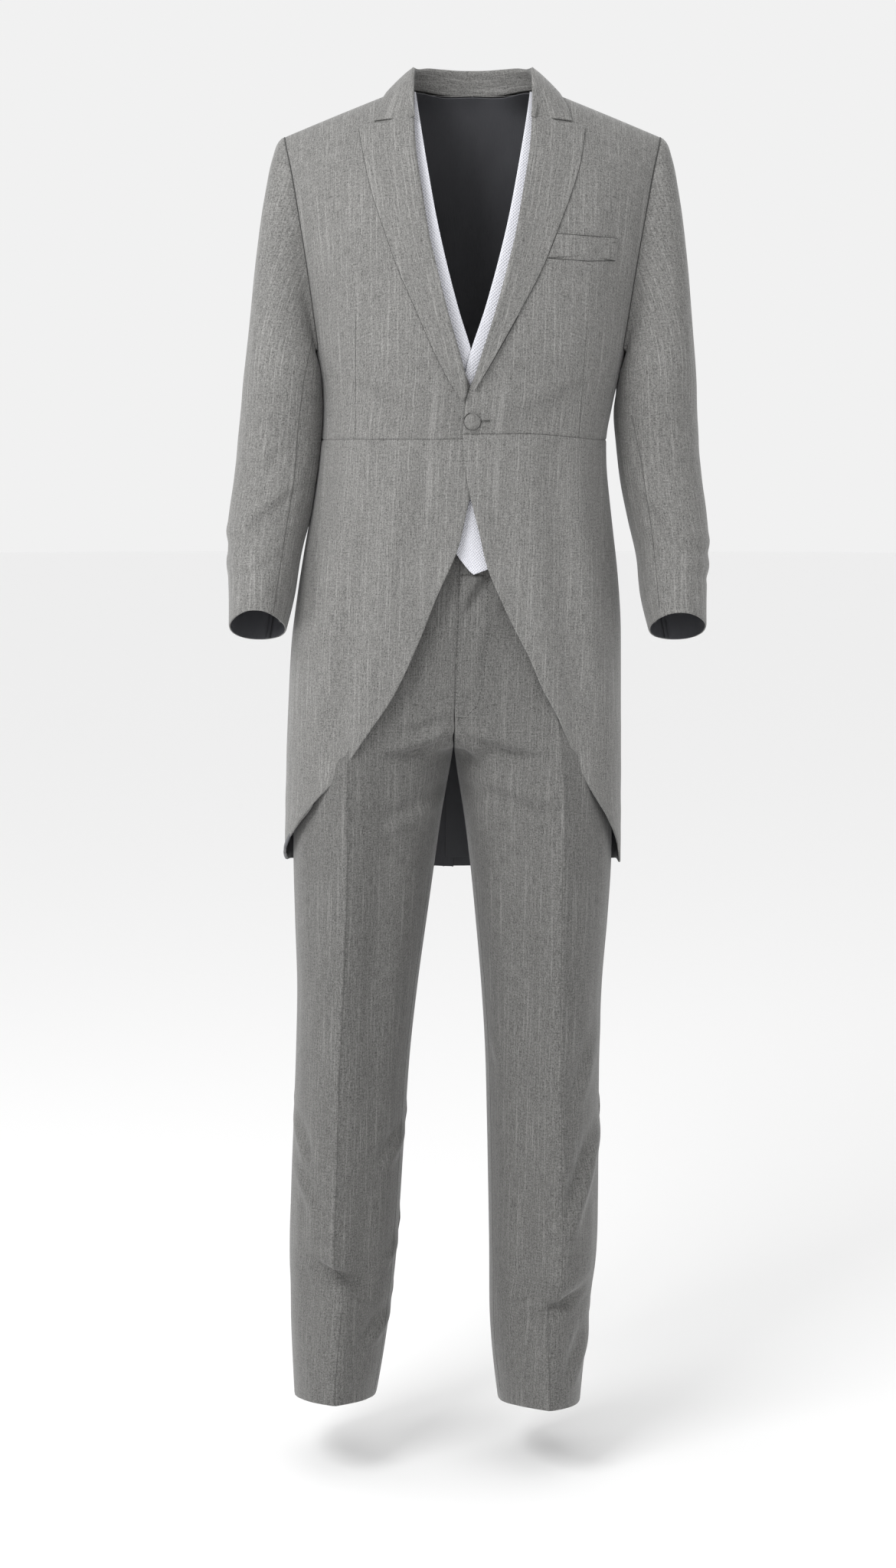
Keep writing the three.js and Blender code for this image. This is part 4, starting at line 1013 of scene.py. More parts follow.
coatFolds = dict(
    left=[
        fold(-1.6, 16, (178, -120), (172, -200), (168, -270)),
        fold(1.6, 22, (150, -110), (146, -200), (140, -290)),
        fold(-1.5, 12, (150, -330), (110, -352), (60, -362)),
        fold(1.2, 10, (150, -312), (100, -335), (50, -350)),
        fold(-1.0, 9, (128, -366), (80, -372), (44, -370)),
        fold(1.2, 16, (100, -60), (150, -80), (190, -100)),
    ],
    right=[
        fold(-1.6, 16, (-152, -120), (-150, -200), (-148, -270)),
        fold(1.6, 22, (-124, -110), (-122, -200), (-118, -290)),
        fold(-1.5, 12, (-138, -322), (-98, -346), (-48, -360)),
        fold(1.2, 10, (-136, -305), (-92, -330), (-40, -346)),
        fold(1.2, 16, (-80, -58), (-130, -78), (-165, -100)),
    ],
)
skirtFolds = dict(
    left=[
        fold(2.6, 20, (128, -400), (142, -520), (160, -700), (176, -880)),
        fold(-2.6, 17, (104, -400), (112, -500), (126, -640), (142, -800)),
        fold(1.8, 17, (78, -402), (82, -480), (92, -600), (108, -700)),
        fold(-2.0, 15, (150, -420), (168, -560), (180, -700)),
        fold(-1.4, 13, (46, -404), (44, -470), (52, -560)),
    ],
    right=[
        fold(2.6, 20, (-122, -402), (-138, -520), (-160, -700), (-186, -880)),
        fold(-2.8, 17, (-96, -402), (-108, -500), (-128, -620), (-150, -800)),
        fold(2.0, 17, (-66, -402), (-80, -500), (-100, -620), (-124, -720)),
        fold(-2.0, 13, (-144, -410), (-156, -460), (-170, -540)),
        fold(-1.4, 13, (-44, -404), (-46, -470), (-62, -560)),
    ],
)
backFolds = [
    fold(1.4, 20, (60, -40), (95, -60), (140, -70)), fold(-1.2, 16, (50, -62), (95, -84), (150, -96)),
    fold(-1.8, 18, (168, -110), (166, -180), (168, -240)),
    fold(1.8, 22, (138, -110), (134, -190), (130, -260)),
    fold(-1.6, 10, (20, -352), (70, -340), (120, -322)), fold(1.3, 10, (20, -334), (70, -320), (120, -300)),
    fold(2.0, 14, (24, -400), (30, -560), (40, -880)), fold(-1.8, 12, (48, -430), (56, -600), (62, -880)),
]
sleeveFolds = dict(
    left=[
        fold(-2.6, 5.5, (206, -455), (232, -492), (262, -510), (290, -520)),
        fold(2.2, 7, (206, -440), (236, -476), (264, -496), (292, -506)),
        fold(-2.0, 5, (212, -503), (242, -524), (262, -537), (290, -550)),
        fold(1.8, 6.5, (214, -490), (244, -511), (266, -524), (290, -536)),
        fold(-1.8, 8, (222, -405), (250, -424), (280, -402)),
        fold(1.4, 8, (222, -388), (250, -402), (280, -384)),
        fold(-1.5, 9, (196, -335), (199, -390), (203, -450)),
        fold(-1.4, 12, (224, -90), (232, -160), (228, -240)),
        fold(1.4, 14, (248, -110), (256, -200), (258, -290)),
        fold(-1.5, 6, (214, -556), (240, -566), (268, -562)),
    ],
    right=[
        fold(-2.6, 5.5, (-190, -448), (-222, -476), (-252, -500), (-282, -512)),
        fold(2.2, 7, (-190, -434), (-222, -460), (-250, -484), (-280, -496)),
        fold(-2.2, 5, (-200, -476), (-228, -494), (-258, -512), (-280, -520)),
        fold(-1.8, 5, (-212, -526), (-240, -541), (-266, -546)),
        fold(1.5, 6, (-210, -514), (-240, -528), (-268, -532)),
        fold(-1.8, 8, (-206, -405), (-228, -428), (-258, -412)),
        fold(1.4, 8, (-206, -388), (-230, -408), (-258, -394)),
        fold(-1.4, 12, (-200, -90), (-208, -160), (-204, -240)),
        fold(1.4, 14, (-224, -110), (-232, -200), (-234, -290)),
        fold(-1.4, 6, (-206, -566), (-232, -574), (-252, -566)),
    ],
)
legFolds = dict(
    left=[
        fold(-3.0, 4.4, (10, -730), (28, -737), (50, -745), (92, -753)),
        fold(2.2, 8, (10, -716), (30, -724), (56, -732), (96, -742)),
        fold(-1.6, 4.5, (-1, -743), (8, -752), (20, -763)), fold(1.8, 6, (4, -736), (18, -746), (36, -758)),
        fold(-2.4, 8, (10, -792), (53, -801), (84, -816), (118, -811)),
        fold(2.0, 10, (12, -776), (56, -784), (90, -796), (120, -794)),
        fold(-3.6, 6, (38, -540), (22, -556), (12, -574), (2, -593)),
        fold(2.6, 8, (22, -540), (8, -560), (2, -575)),
        fold(1.8, 9, (46, -560), (28, -590), (18, -630), (16, -690)),
        fold(1.8, 8, (160, -1078), (146, -1130), (131, -1170)),
        fold(-1.8, 8, (150, -1076), (134, -1130), (118, -1170)), fold(1.6, 4, (39, -1090), (46, -1118)),
        fold(4.4, 8, (166, -1195), (150, -1240), (132, -1290), (122, -1330)),
        fold(-4.0, 10, (152, -1195), (135, -1244), (116, -1296)),
        fold(2.4, 7, (156, -1440), (146, -1470), (134, -1500)),
        fold(-2.4, 8, (144, -1436), (132, -1466), (122, -1496)),
        fold(-2.0, 18, (66, -860), (78, -980), (76, -1100)),
        fold(-2.0, 20, (92, -1320), (84, -1400), (92, -1500)),
    ],
    right=[
        fold(-3.2, 5, (-8, -727), (-26, -737), (-46, -745), (-82, -752)),
        fold(2.6, 8, (-10, -714), (-30, -724), (-54, -733), (-90, -742)),
        fold(-1.8, 8, (-8, -705), (-52, -720), (-82, -725)),
        fold(1.4, 9, (-8, -692), (-52, -706), (-84, -712)),
        fold(-2.4, 9, (-20, -790), (-60, -812), (-92, -824), (-116, -818)),
        fold(2.2, 9, (-22, -806), (-59, -826), (-90, -838), (-116, -832)),
        fold(1.8, 5, (-198, -1186), (-190, -1212), (-184, -1234)),
        fold(-1.8, 6, (-190, -1182), (-181, -1210), (-175, -1234)),
        fold(1.7, 6, (-195, -1248), (-182, -1272), (-168, -1296)),
        fold(-1.5, 7, (-186, -1242), (-172, -1266), (-158, -1288)),
        fold(2.4, 6, (-66, -1203), (-76, -1222), (-84, -1238)),
        fold(-2.4, 6, (-76, -1196), (-88, -1218), (-98, -1236)),
        fold(2.4, 6, (-74, -1335), (-82, -1352), (-90, -1368)),
        fold(2.6, 6, (-84, -1425), (-94, -1441), (-106, -1458)),
        fold(-2.6, 8, (-94, -1418), (-106, -1436), (-118, -1452)),
        fold(-2.0, 18, (-92, -860), (-104, -980), (-108, -1100)),
        fold(-2.0, 20, (-122, -1300), (-118, -1400), (-126, -1500)),
    ],
)
# Front break of each leg: the crease jogs sideways, with a dent at the jog and a bulge below it
legKnock = dict(left=dict(at=(118, -1402), dent=-4.2, slant=0.55, jog=-9),
                right=dict(at=(-146, -1364), dent=-4.2, slant=-0.55, jog=7.5))
knockCut = dict(tall=9, wide=17, bulge=2.2, bulgeDrop=1.6, bulgeWide=22, flattens=0.85)

foldStrength = dict(coat=1.4, skirt=1.5, sleeve=1.3, leg=1.7)
# Pressed crease: where it fades in, then height and reach of its sharp cusp and of the wedge under it
creaseCut = dict(fadesIn=(-640, -800), cusp=(3.0, 3.0), wedge=(8.5, 40))


def spreadFolds(folds, part, forward=1, mirrored=False):
    def relief(seen, side):
        across = seen[..., 0] * (side if mirrored else 1)
        return foldField(folds, across, seen[..., 2], foldStrength[part]) * facing(seen, forward)
    return relief


def sleeveRelief(name):
    strength = foldStrength["sleeve"]
    def relief(seen, side):
        shown = facing(seen, 1)
        front = foldField(sleeveFolds[name], seen[..., 0], seen[..., 2], strength)
        behind = foldField(sleeveFolds[name], seen[..., 0], seen[..., 2] - 14, 0.4 * strength)
        return front * shown + behind * (1 - shown)
    return relief


# The yarns run down the arm, evenly round it
def sleeveGrain(part):
    radius, headLean, headFrom = 52, 62, (-330, -60)
    way = 1 if part == "top" else -1
    def across(grid):
        x, y, z = grid[..., 0], grid[..., 1], grid[..., 2]
        axis = sleeveChart.centre(z) - headLean * smooth(*headFrom, z)
        return radius * way * np.arctan2(y - sleeveChart.middle(z), way * (x - axis))
    return across


# Where the pressed crease is seen on a leg, with its jog at the break on the front
def creaseAt(name, side, z, forward=1):
    crease = bodyLean.x(z) + side * creaseOut(name, z)
    if forward > 0:
        knock = legKnock[name]
        under = knock["at"][1]
        below = smooth(under + 5, under - 6, z)
        crease += knock["jog"] * below * (1 - 0.6 * smooth(under - 10, -1530, z))
    return crease


def legRelief(name, forward):
    knock = legKnock[name]
    def relief(seen, side):
        x, z = seen[..., 0], seen[..., 2]
        crease = creaseAt(name, side, z, forward)
        away = np.abs(x - crease)
        (cusp, cuspReach), (wedge, wedgeReach) = creaseCut["cusp"], creaseCut["wedge"]
        sharp = cusp * np.exp(-away / cuspReach) + wedge * np.maximum(0, 1 - away / wedgeReach)
        sharp = smooth(*creaseCut["fadesIn"], z) * sharp
        if forward < 0:
            return sharp + foldField(legFolds[name], x, z - 20, 0.7 * foldStrength["leg"]) * (z < -860)
        folded = foldField(legFolds[name], x, z, foldStrength["leg"])
        beside = x - knock["at"][0]
        near = (z - knock["at"][1] - knock["slant"] * beside) / knockCut["tall"]
        dent = knock["dent"] * np.exp(-near**2) * np.exp(-((beside / knockCut["wide"]) ** 2))
        bulge = knockCut["bulge"] * np.exp(-((near + knockCut["bulgeDrop"]) ** 2))
        bulge *= np.exp(-((beside / knockCut["bulgeWide"]) ** 2))
        kept = 1 - knockCut["flattens"] * np.exp(-near**2)
        return folded * facing(seen, 1) + sharp * kept + dent + bulge
    return relief


vestRise = dict(height=3.2, across=26, low=-352, high=-262)
vestFolds = [fold(1.2, 8, (-30, -430), (20, -455), (60, -440)), fold(-1.0, 8, (-30, -470), (20, -490))]


def vestRelief(seen, side):  # the fronts press up against the coat where it closes
    x, z = np.abs(seen[..., 0] - 8), seen[..., 2]
    below = smooth(vestRise["high"], vestRise["high"] - 40, z)
    level = below * smooth(vestRise["low"] - 60, vestRise["low"], z)
    risen = vestRise["height"] * level * np.exp(-((x / vestRise["across"]) ** 2))
    return risen + foldField(vestFolds, seen[..., 0], z)


coatStyle = dict(  # thickness of each cloth, and the step of its mesh
    thick=1.8, liningThick=1.0, lapelThick=1.5, collarThick=1.6, weltThick=1.2,
    step=4.0, frontStep=3.2, skirtStep=3.6, liningStep=5, lapelStep=3.0, weltStep=2.5, sleeveStep=3.8,
)
for name, side in sides:
    thick = coatStyle["thick"]
    panel(f"coat_forepart_{name}", forepartGrid(name), side, thick, frontWool[name], satin, "wool",
          step=coatStyle["frontStep"], seams="trb", relief=spreadFolds(coatFolds[name], "coat"))
    panel(f"coat_sidebody_{name}", sidebodyGrid(name), side, thick, wool, satin, "wool",
          step=coatStyle["step"], seams="tlrb")
    panel(f"coat_back_{name}", backGrid(name), side, thick, wool, satin, "wool", step=coatStyle["step"],
          seams="tlr", relief=spreadFolds(backFolds, "coat", -1, True))
    panel(f"coat_skirt_{name}", skirtGrid(name), side, thick, wool, satin, "wool",
          step=coatStyle["skirtStep"], seams="t", relief=spreadFolds(skirtFolds[name], "skirt"))
    panel(f"coat_tail_lining_{name}", backGrid(name, lining=True), side, coatStyle["liningThick"], satin,
          satin, "lining", step=coatStyle["liningStep"], relief=spreadFolds(backFolds, "coat", -1, True))
    panel(f"coat_lapel_{name}", lapelGrid(name), side, coatStyle["lapelThick"], wool, wool, "wool",
          step=coatStyle["lapelStep"], ownGrain=True)
panel("coat_collar", collarGrid(), 1, coatStyle["collarThick"], wool, wool, "wool",
      step=coatStyle["lapelStep"], ownGrain=True)
panel("coat_breast_welt", weltGrid(), 1, coatStyle["weltThick"], wool, wool, "wool",
      step=coatStyle["weltStep"])
print("coat body is sewn")

for name, side in sides:
    for part in ("top", "under"):
        panel(f"coat_{part}sleeve_{name}", sleeveGrid(part, side), side, coatStyle["thick"], wool, satin,
              "wool", step=coatStyle["sleeveStep"], lean=armLean, axis=220, seams="tlr",
              relief=sleeveRelief(name), grainRound=sleeveGrain(part))
print("sleeves are set in")

vestStyle = dict(thick=1.2, step=4.0, backStep=5)
for name, side in sides:
    panel(f"waistcoat_front_{name}", vestFrontGrid(name), side, vestStyle["thick"], pique, satin, "pique",
          step=vestStyle["step"], seams="tr", corners=(1, 2), relief=vestRelief)
panel("waistcoat_back", vestBackGrid(), 1, vestStyle["thick"], satin, satin, "lining",
      step=vestStyle["backStep"])
print("waistcoat is made up")

trouserStyle = dict(thick=1.8, bandThick=2.4, flyThick=1.2, step=4.2, bandStep=4, flyStep=2.6, edgeRoll=0.25)
for name, side in sides:
    for part, behind in (("front", False), ("back", True)):
        panel(f"trouser_{part}_{name}", legGrid(name, behind), side, trouserStyle["thick"], trouserWool,
              woolDeep, "wool", step=trouserStyle["step"], axis=110, seams="tlr", creases=(4,),
              grainFrom=0.5, edgeRoll=trouserStyle["edgeRoll"],
              relief=legRelief(name, -1 if behind else 1))
panel("trouser_waistband", bandGrid(), 1, trouserStyle["bandThick"], trouserWool, woolDeep, "wool",
      step=trouserStyle["bandStep"], seams="b", edgeRoll=trouserStyle["edgeRoll"])
panel("trouser_fly", flyGrid(), 1, trouserStyle["flyThick"], trouserWool, woolDeep, "wool",
      step=trouserStyle["flyStep"], relief=spreadFolds(legFolds["left"], "leg"))
print("trousers are made up")


# Buttons covered in the coat's own cloth: a dome, its rolled rim and the cloth drawn in behind
buttonCut = dict(
    front=dict(radius=9.3, height=4.9, at=(7, -368), out=1.0),
    back=dict(radius=9, height=4.3, at=(40, -384), out=1.6),
    cuff=dict(radius=6.5, height=3.1, angle=158, out=0.9, heights=(-560, -576, -592)),
    around=40, gathers=9, gatherDeep=0.012, bump=0.0003,
    flecks=[(900, 60, 0.8), (900, 900, 1.0)],
    outline=[  # share of the radius, share of the height
        (0.70, -0.12), (0.86, -0.02), (0.95, 0.12), (1.0, 0.3), (0.99, 0.46), (0.93, 0.63), (0.84, 0.76),
        (0.7, 0.87), (0.52, 0.94), (0.3, 0.985), (0.12, 1.0),
    ],
)


def buttonWool():
    cloth = Finish("buttonWool", 0.85)
    spot = cloth.node("ShaderNodeTexCoord", output=3)
    def fleck(across, up):
        place = cloth.node("ShaderNodeMapping", {}, {"Vector": spot, "Scale": (across, across, up)})
        return cloth.node("ShaderNodeTexNoise", {}, {"Vector": place, "Scale": 1.0, "Detail": 2.0}) - 0.5
    shade = 0.5
    for across, up, weight in buttonCut["flecks"]:
        shade = fleck(across, up) * weight + shade
    cloth.colour(cloth.blend(shade, woolLook["dark"], woolLook["light"]))
    cloth.bump(shade, buttonCut["bump"])
    return cloth.material


buttonCloth = buttonWool()


def coveredButton(node, centre, normal, radius, height, lean):
    outline, around = buttonCut["outline"], buttonCut["around"]
    tangent = np.cross(normal, (0, 0, 1))
    tangent /= np.linalg.norm(tangent)
    upward = np.cross(tangent, normal)
    rings = [centre + normal * height * outline[0][1] * 0.8]
    for share, rise in outline:
        for turn in np.arange(around) * 2 * math.pi / around:
            gather = buttonCut["gatherDeep"] * math.sin(buttonCut["gathers"] * turn)
            pinch = 1 + gather * (rise < 0.2)  # only at the back
            way = tangent * math.cos(turn) + upward * math.sin(turn)
            rings.append(centre + way * radius * share * pinch + normal * height * rise)
    rings.append(centre + normal * height * 1.003)
    points = np.array(rings)
    points[:, 0] += float(lean.x(centre[2]))
    faces = []
    for ring in range(len(outline) - 1):
        for k in range(around):
            a, b = 1 + ring * around + k, 1 + ring * around + (k + 1) % around
            faces.append((a, b, b + around, a + around))
    last = 1 + (len(outline) - 1) * around
    for k in range(0, around, 2):
        a, b, c = k, k + 1, (k + 2) % around
        faces.append((0, 1 + c, 1 + b, 1 + a))
        faces.append((len(points) - 1, last + a, last + b, last + c))
    mesh = meshOf(node + "_covered", points / 1000, faces, [buttonCloth])
    if np.dot(np.cross(points[2] - points[1], points[1 + around] - points[1]), points[1] - centre) < 0:
        mesh.data.flip_normals()
    finishPiece(mesh, "wool", node)


def torsoButton(node, cutting, side, back):
    x, z = cutting["at"]
    near, centre = lifted(x, z, back, 0), lifted(x, z, back, cutting["out"])
    normal = (centre - near) / np.linalg.norm(centre - near)
    turned = (side, 1, 1)
    coveredButton(node, centre * turned, normal * turned, cutting["radius"], cutting["height"], bodyLean)


torsoButton("coat_front_button", buttonCut["front"], 1, False)
for name, side in sides:
    torsoButton(f"coat_back_button_{name}", buttonCut["back"], side, True)
    cuff = buttonCut["cuff"]
    for number, z in enumerate(cuff["heights"], 1):
        at = sleeveRing(cuff["angle"], z, side)
        along = sleeveRing(cuff["angle"] + 1, z, side) - at
        normal = np.cross(along, sleeveRing(cuff["angle"], z - 1, side) - at)
        normal *= np.sign(normal[1]) / np.linalg.norm(normal)
        coveredButton(f"coat_cuff_button_{number}_{name}", (at + normal * cuff["out"]) * (side, 1, 1),
                      normal * (side, 1, 1), cuff["radius"], cuff["height"], armLean)
print("buttons are covered")


# A Geometry Nodes tree under construction, with a path for its input
class Sewing:
    def __init__(self, name, sizes):
        self.tree = bpy.data.node_groups.new(name, "GeometryNodeTree")
        face = self.tree.interface
        face.new_socket(name="Path", in_out="INPUT", socket_type="NodeSocketGeometry")
        for size in sizes:
            face.new_socket(name=size, in_out="INPUT", socket_type="NodeSocketFloat")
        face.new_socket(name="Thread", in_out="INPUT", socket_type="NodeSocketMaterial")
        face.new_socket(name="Geometry", in_out="OUTPUT", socket_type="NodeSocketGeometry")
        self.given = self.tree.nodes.new("NodeGroupInput").outputs

    def node(self, kind, settings=None, inputs=None, output=0):
        made = self.tree.nodes.new(kind)
        for key, value in (settings or {}).items():
            setattr(made, key, value)
        for key, value in (inputs or {}).items():
            if isinstance(value, bpy.types.NodeSocket):
                self.tree.links.new(value, made.inputs[key])
            else:
                made.inputs[key].default_value = value
        return made.outputs[output]

    def finish(self, geometry):
        whole = self.node("GeometryNodeRealizeInstances", inputs={"Geometry": geometry})
        coloured = self.node("GeometryNodeSetMaterial", inputs={
            "Geometry": whole, "Material": self.given["Thread"]})
        self.tree.links.new(coloured, self.tree.nodes.new("NodeGroupOutput").inputs[0])
        return self.tree


# Geometry Nodes tree that sews a row of stitches along a path
def stitchTree():
    sewing = Sewing("stitchRow", ["Spacing", "Stitch Length", "Stitch Width"])
    given = sewing.given
    line = sewing.node("GeometryNodeMeshToCurve", inputs={"Mesh": given["Path"]})
    places = sewing.node("GeometryNodeResampleCurve", dict(mode="LENGTH"), {
        "Curve": line, "Length": given["Spacing"]})
    way = sewing.node("FunctionNodeAlignRotationToVector", dict(axis="X"),
                      {"Vector": sewing.node("GeometryNodeInputTangent")})
    size = sewing.node("ShaderNodeCombineXYZ", inputs={
        "X": given["Stitch Length"], "Y": given["Stitch Width"], "Z": given["Stitch Width"]})
    bead = sewing.node("GeometryNodeMeshUVSphere", inputs={"Segments": 8, "Rings": 5, "Radius": 0.5})
    row = sewing.node("GeometryNodeInstanceOnPoints", inputs={
        "Points": places, "Instance": bead, "Rotation": way, "Scale": size})
    return sewing.finish(row)


# Geometry Nodes tree that draws a dark line of painted shade along a path
def cordTree():
    sewing = Sewing("pressedLine", ["Line Width"])
    given = sewing.given
    line = sewing.node("GeometryNodeMeshToCurve", inputs={"Mesh": given["Path"]})
    half = sewing.node("ShaderNodeMath", dict(operation="MULTIPLY"), {0: given["Line Width"], 1: 0.5})
    ring = sewing.node("GeometryNodeCurvePrimitiveCircle", inputs={"Resolution": 6, "Radius": half})
    return sewing.finish(sewing.node("GeometryNodeCurveToMesh", inputs={
        "Curve": line, "Profile Curve": ring, "Fill Caps": True}))


# Runs a tree along paths, and keeps what it makes as a piece
def sew(name, paths, tree, material, **sizes):
    points, edges = [], []
    for path in paths:
        edges += [(len(points) + i, len(points) + i + 1) for i in range(len(path) - 1)]
        points += [tuple(p) for p in path]
    mesh = bpy.data.meshes.new(name + "_path")
    mesh.from_pydata(points, edges, [])
    guide = bpy.data.objects.new(name + "_path", mesh)
    scene.collection.objects.link(guide)
    run = guide.modifiers.new("sewing", "NODES")
    run.node_group = tree
    for socket in tree.interface.items_tree:
        if socket.in_out == "INPUT" and socket.name != "Path":
            value = material if socket.name == "Thread" else sizes[socket.name.replace(" ", "")]
            run[socket.identifier] = value
    made = bpy.data.meshes.new_from_object(guide.evaluated_get(bpy.context.evaluated_depsgraph_get()))
    bpy.data.objects.remove(guide)
    made.name = name
    for polygon in made.polygons:
        polygon.use_smooth = True
    piece = bpy.data.objects.new(name, made)
    scene.collection.objects.link(piece)
    finishPiece(piece, "wool")


# Path of seen points in millimetres, laid on the pieces from the front
def laidOn(pieces, path, out, step=1.0):
    path = np.array(path, float)
    laid = []
    for a, b in zip(path[:-1], path[1:]):
        count = max(1, round(np.linalg.norm(b - a) / step))
        laid += [mix(a, b, i / count) for i in range(count)]
    laid.append(path[-1])
    found = []
    for x, z in laid:
        hits = []
        for piece in pieces:
            cloth = bpy.data.objects[piece + "_cloth"]
            hit, place, normal, _ = cloth.ray_cast((x / 1000, -1, z / 1000), (0, 1, 0))
            if hit:
                hits.append((place.y, place + normal * out / 1000))
        if hits:
            found.append(min(hits, key=lambda entry: entry[0])[1])
    return found


# Its first widths are those of the dark lines of painted shade
sewingCut = dict(  # widths, spacings and lengths in metres, places in millimetres
    edge=0.0008, armhole=0.0009, foldShadow=0.0017, shank=0.0010, slit=0.0009,
    crease=0.0006, sleeveSeam=0.0008, inseamAway=4.5,
    hole=dict(x0=17.0, x1=26.0, z=-367.5, half=1.05, eye=1.9, width=0.00055, spacing=0.0006, length=0.0011),
    flyDots=dict(spacing=0.0042, length=0.0026, width=0.0007),
    tack=dict(spacing=0.0007, length=0.0012, width=0.0009),
)
stitches, pressed = stitchTree(), cordTree()


def seenOnCoat(points):
    return [(x + float(bodyLean.x(z)), z) for x, z in points]


def lapelLine(name, side):
    heights = np.linspace(-44, -322, 60)
    return [(side * (float(getattr(lapelEdge, name)(z)) + 0.5) + float(bodyLean.x(z)), z) for z in heights]


# The button's painted shadow, from its right round its foot and nearly to its top
def buttonRing(cutting):
    x, z = cutting["at"]
    reach = cutting["radius"] + 0.35
    return [(x + float(bodyLean.x(z)) + reach * math.sin(t), z + reach * math.cos(t))
            for t in np.linspace(1.5, 5.9, 32)]


# painted shade: the darkest copy of the wool, for the dark lines where shade falls along edges and seams
pressedWool = woolFinish("pressedWool", dim=woolShare["pressed"])
welt = seenOnCoat([(float(lapelEdge.left(-160.5)) + 2, -160.6), (164.3, -163.7), (161.3, -188.3),
                   (130, -190.2), (float(lapelEdge.left(-188)) + 2, -187.8)])
# Painted shade: a dark line along each lapel's edge and another round the front of each armhole seam
for name, side in sides:
    sew(f"coat_lapel_{name}_edge_line", [laidOn([f"coat_forepart_{name}"], lapelLine(name, side), 0.1)],
        pressed, pressedWool, LineWidth=sewingCut["edge"])
    seam = loopPoints[:len(loopFront) + 1] + 0.25 * np.array(loopNormals[:len(loopFront) + 1])
    seam = refine(seam[:, None].repeat(2, 1) + [[[0, 0, 0], [0, 0, 1.0]]], 3)[:, 0]
    seen = np.stack([seam[:, 0] * side + bodyLean.x(seam[:, 2]), seam[:, 1], seam[:, 2]], -1) / 1000
    sew(f"coat_armhole_{name}_line", [seen], pressed, pressedWool, LineWidth=sewingCut["armhole"])
# Painted shadow: a wider dark line under the left lapel's edge towards its foot
shadowed = [(x + 0.5, z) for x, z in lapelLine("left", 1) if z < -250]
sew("coat_lapel_left_fold_line", [laidOn(["coat_forepart_left"], shadowed, 0.2)], pressed, pressedWool,
    LineWidth=sewingCut["foldShadow"])
# Painted shade: a dark line round the welt's top, end and foot
sew("coat_welt_edge_line", [laidOn(["coat_forepart_left"], welt, 0.15)], pressed, pressedWool,
    LineWidth=sewingCut["edge"])
# Painted shadow: a dark ring round the front button's foot
ring = laidOn(["coat_forepart_left"], buttonRing(buttonCut["front"]), 0.3)
sew("coat_front_button_shank_line", [ring], pressed, pressedWool, LineWidth=sewingCut["shank"])

hole = sewingCut["hole"]
around = [(hole["x0"], hole["z"] + hole["half"] * 0.6), (hole["x1"] - 1.2, hole["z"] + hole["half"])]
around += [(hole["x1"] + hole["eye"] * math.sin(t), hole["z"] + hole["eye"] * math.cos(t))
           for t in np.linspace(-0.5, math.pi + 0.5, 12)]
around += [(hole["x1"] - 1.2, hole["z"] - hole["half"]), (hole["x0"], hole["z"] - hole["half"] * 0.6)]
sewn = laidOn(["coat_forepart_left"], seenOnCoat(around), 0.25, 0.4)
sew("coat_buttonhole_stitches", [sewn], stitches, thread,
    Spacing=hole["spacing"], StitchLength=hole["width"], StitchWidth=hole["length"])
# Painted shade: a dark line along the buttonhole's slit
slit = [(hole["x0"], hole["z"]), (hole["x1"] + 0.6, hole["z"])]
opened = laidOn(["coat_forepart_left"], seenOnCoat(slit), 0.25, 0.5)
sew("coat_buttonhole_slit", [opened], pressed, pressedWool, LineWidth=sewingCut["slit"])
print("edges and buttonhole are sewn")

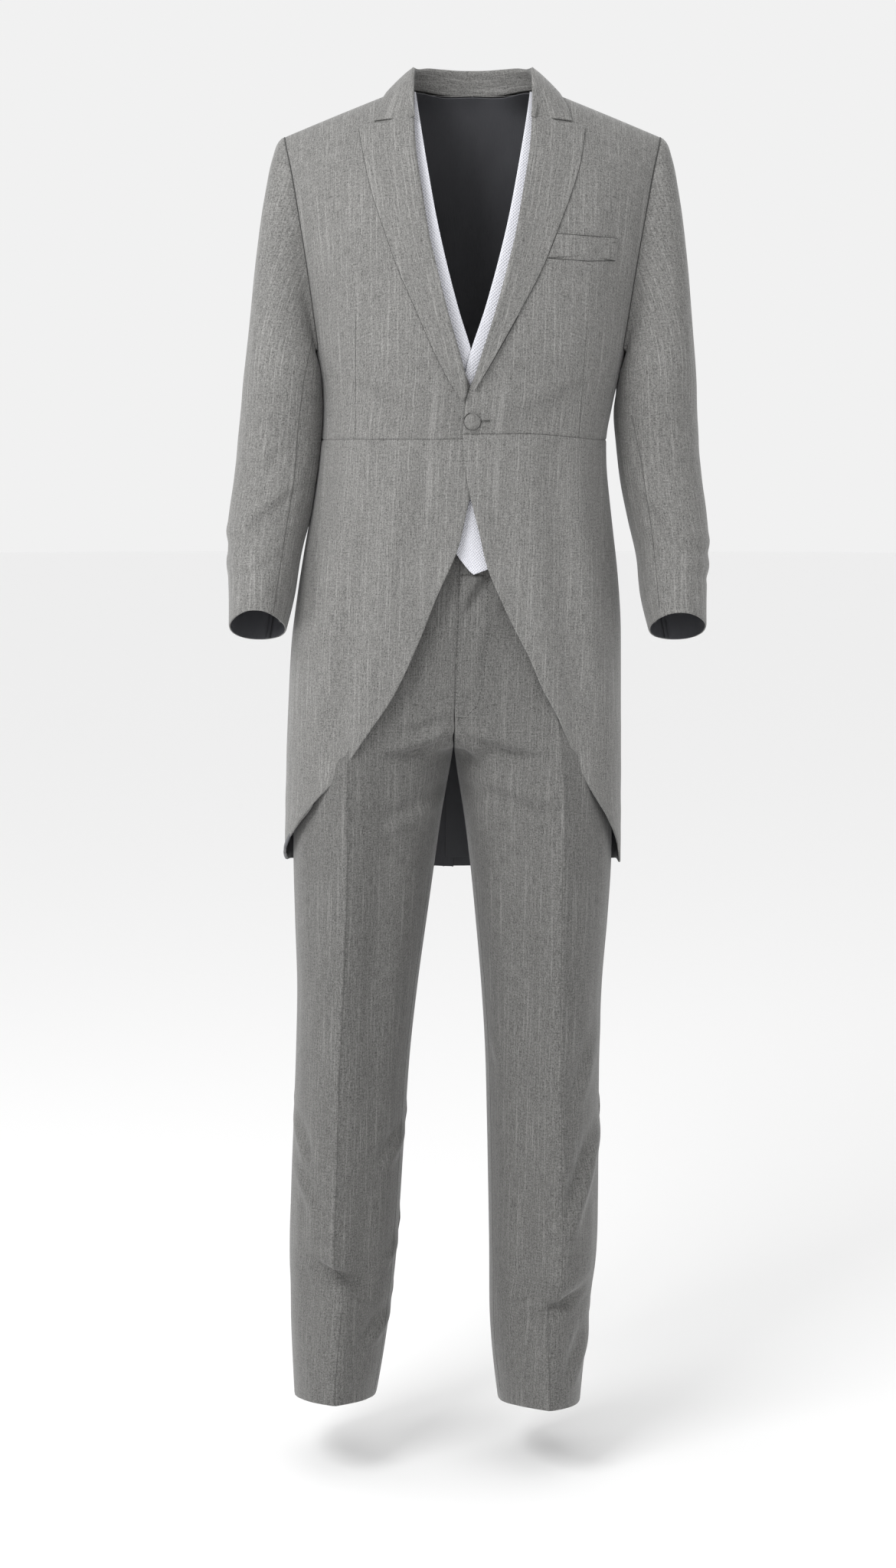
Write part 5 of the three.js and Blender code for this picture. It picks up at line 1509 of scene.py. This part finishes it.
# Painted shade as dark lines: down the front seams of the sleeves, then along the trouser creases and inseams
# painted shade: a less dark copy of the wool, for the lines along the sleeve seams, creases and inseams
softWool = woolFinish("softWool", dim=woolShare["soft"])
sleeveSeams = dict(
    left=[(196, -360), (207, -410), (216, -470), (220, -500), (223, -540), (226, -580)],
    right=[(-170, -272), (-180, -322), (-186.5, -367), (-192, -433), (-197, -465), (-203, -505),
           (-210, -554), (-214, -585)],
)
for name, side in sides:
    sew(f"coat_sleeve_{name}_seam_line", [laidOn([f"coat_topsleeve_{name}", f"coat_undersleeve_{name}"],
        sleeveSeams[name], 0.0, 3)], pressed, softWool, LineWidth=sewingCut["sleeveSeam"])
    crease = [(float(creaseAt(name, side, z)), z) for z in np.linspace(-830, -1534, 240)]
    inseam = [(float(bodyLean.x(z)) + side * (float(leg.inner(z)) + sewingCut["inseamAway"]), z)
              for z in np.linspace(-900, -1525, 60)]
    for line, path in (("crease", crease), ("inseam", inseam)):
        sew(f"trouser_{line}_{name}_line", [laidOn([f"trouser_front_{name}"], path, 0.0, 3)], pressed,
            softWool, LineWidth=sewingCut["crease"])

# Fly: a line of dots down its folded edge and the curved row beside it, in the dark wool of the painted shade
# lines, and the bar tack at its foot
front = ["trouser_front_left", "trouser_front_right", "trouser_fly", "trouser_waistband"]
flyRows = [
    [(-2.6, -545), (-3.4, -600), (-4.2, -650), (-5.4, -700)],
    [(30, -545), (29, -620), (26, -660), (18, -690), (6, -703), (-3, -706)],
]
dots, tack = sewingCut["flyDots"], sewingCut["tack"]
sew("trouser_fly_stitches", [laidOn(front, row, 0.05) for row in flyRows], stitches, pressedWool,
    Spacing=dots["spacing"], StitchLength=dots["length"], StitchWidth=dots["width"])
sew("trouser_fly_tack", [laidOn(front, [(-4, -702), (18, -702)], 0.1, 0.5)], stitches, thread,
    Spacing=tack["spacing"], StitchLength=tack["length"], StitchWidth=tack["width"])
print("fly is stitched")


# Pale floor
def studioFloor():
    count, shade = studio["floorSides"], studio["floorShade"]
    turns = np.linspace(0, 2 * math.pi, count, endpoint=False)
    rings = [(radius * math.cos(t), radius * math.sin(t), studio["floorHeight"])
             for radius in studio["floorRadii"] for t in turns]
    points = [(0, 0, studio["floorHeight"])] + rings
    outer = 1 + count
    quads = [(1 + k, outer + k, outer + (k + 1) % count, 1 + (k + 1) % count) for k in range(count)]
    quads += [(0, 1 + k, 1 + k + 1, 1 + (k + 2) % count) for k in range(0, count, 2)]
    paper = Finish("studioPaper", 0.9)
    paper.shader.inputs["Base Color"].default_value = (shade, shade, shade, 1)
    meshOf("studioFloor", points, quads, [paper.material])


studioFloor()
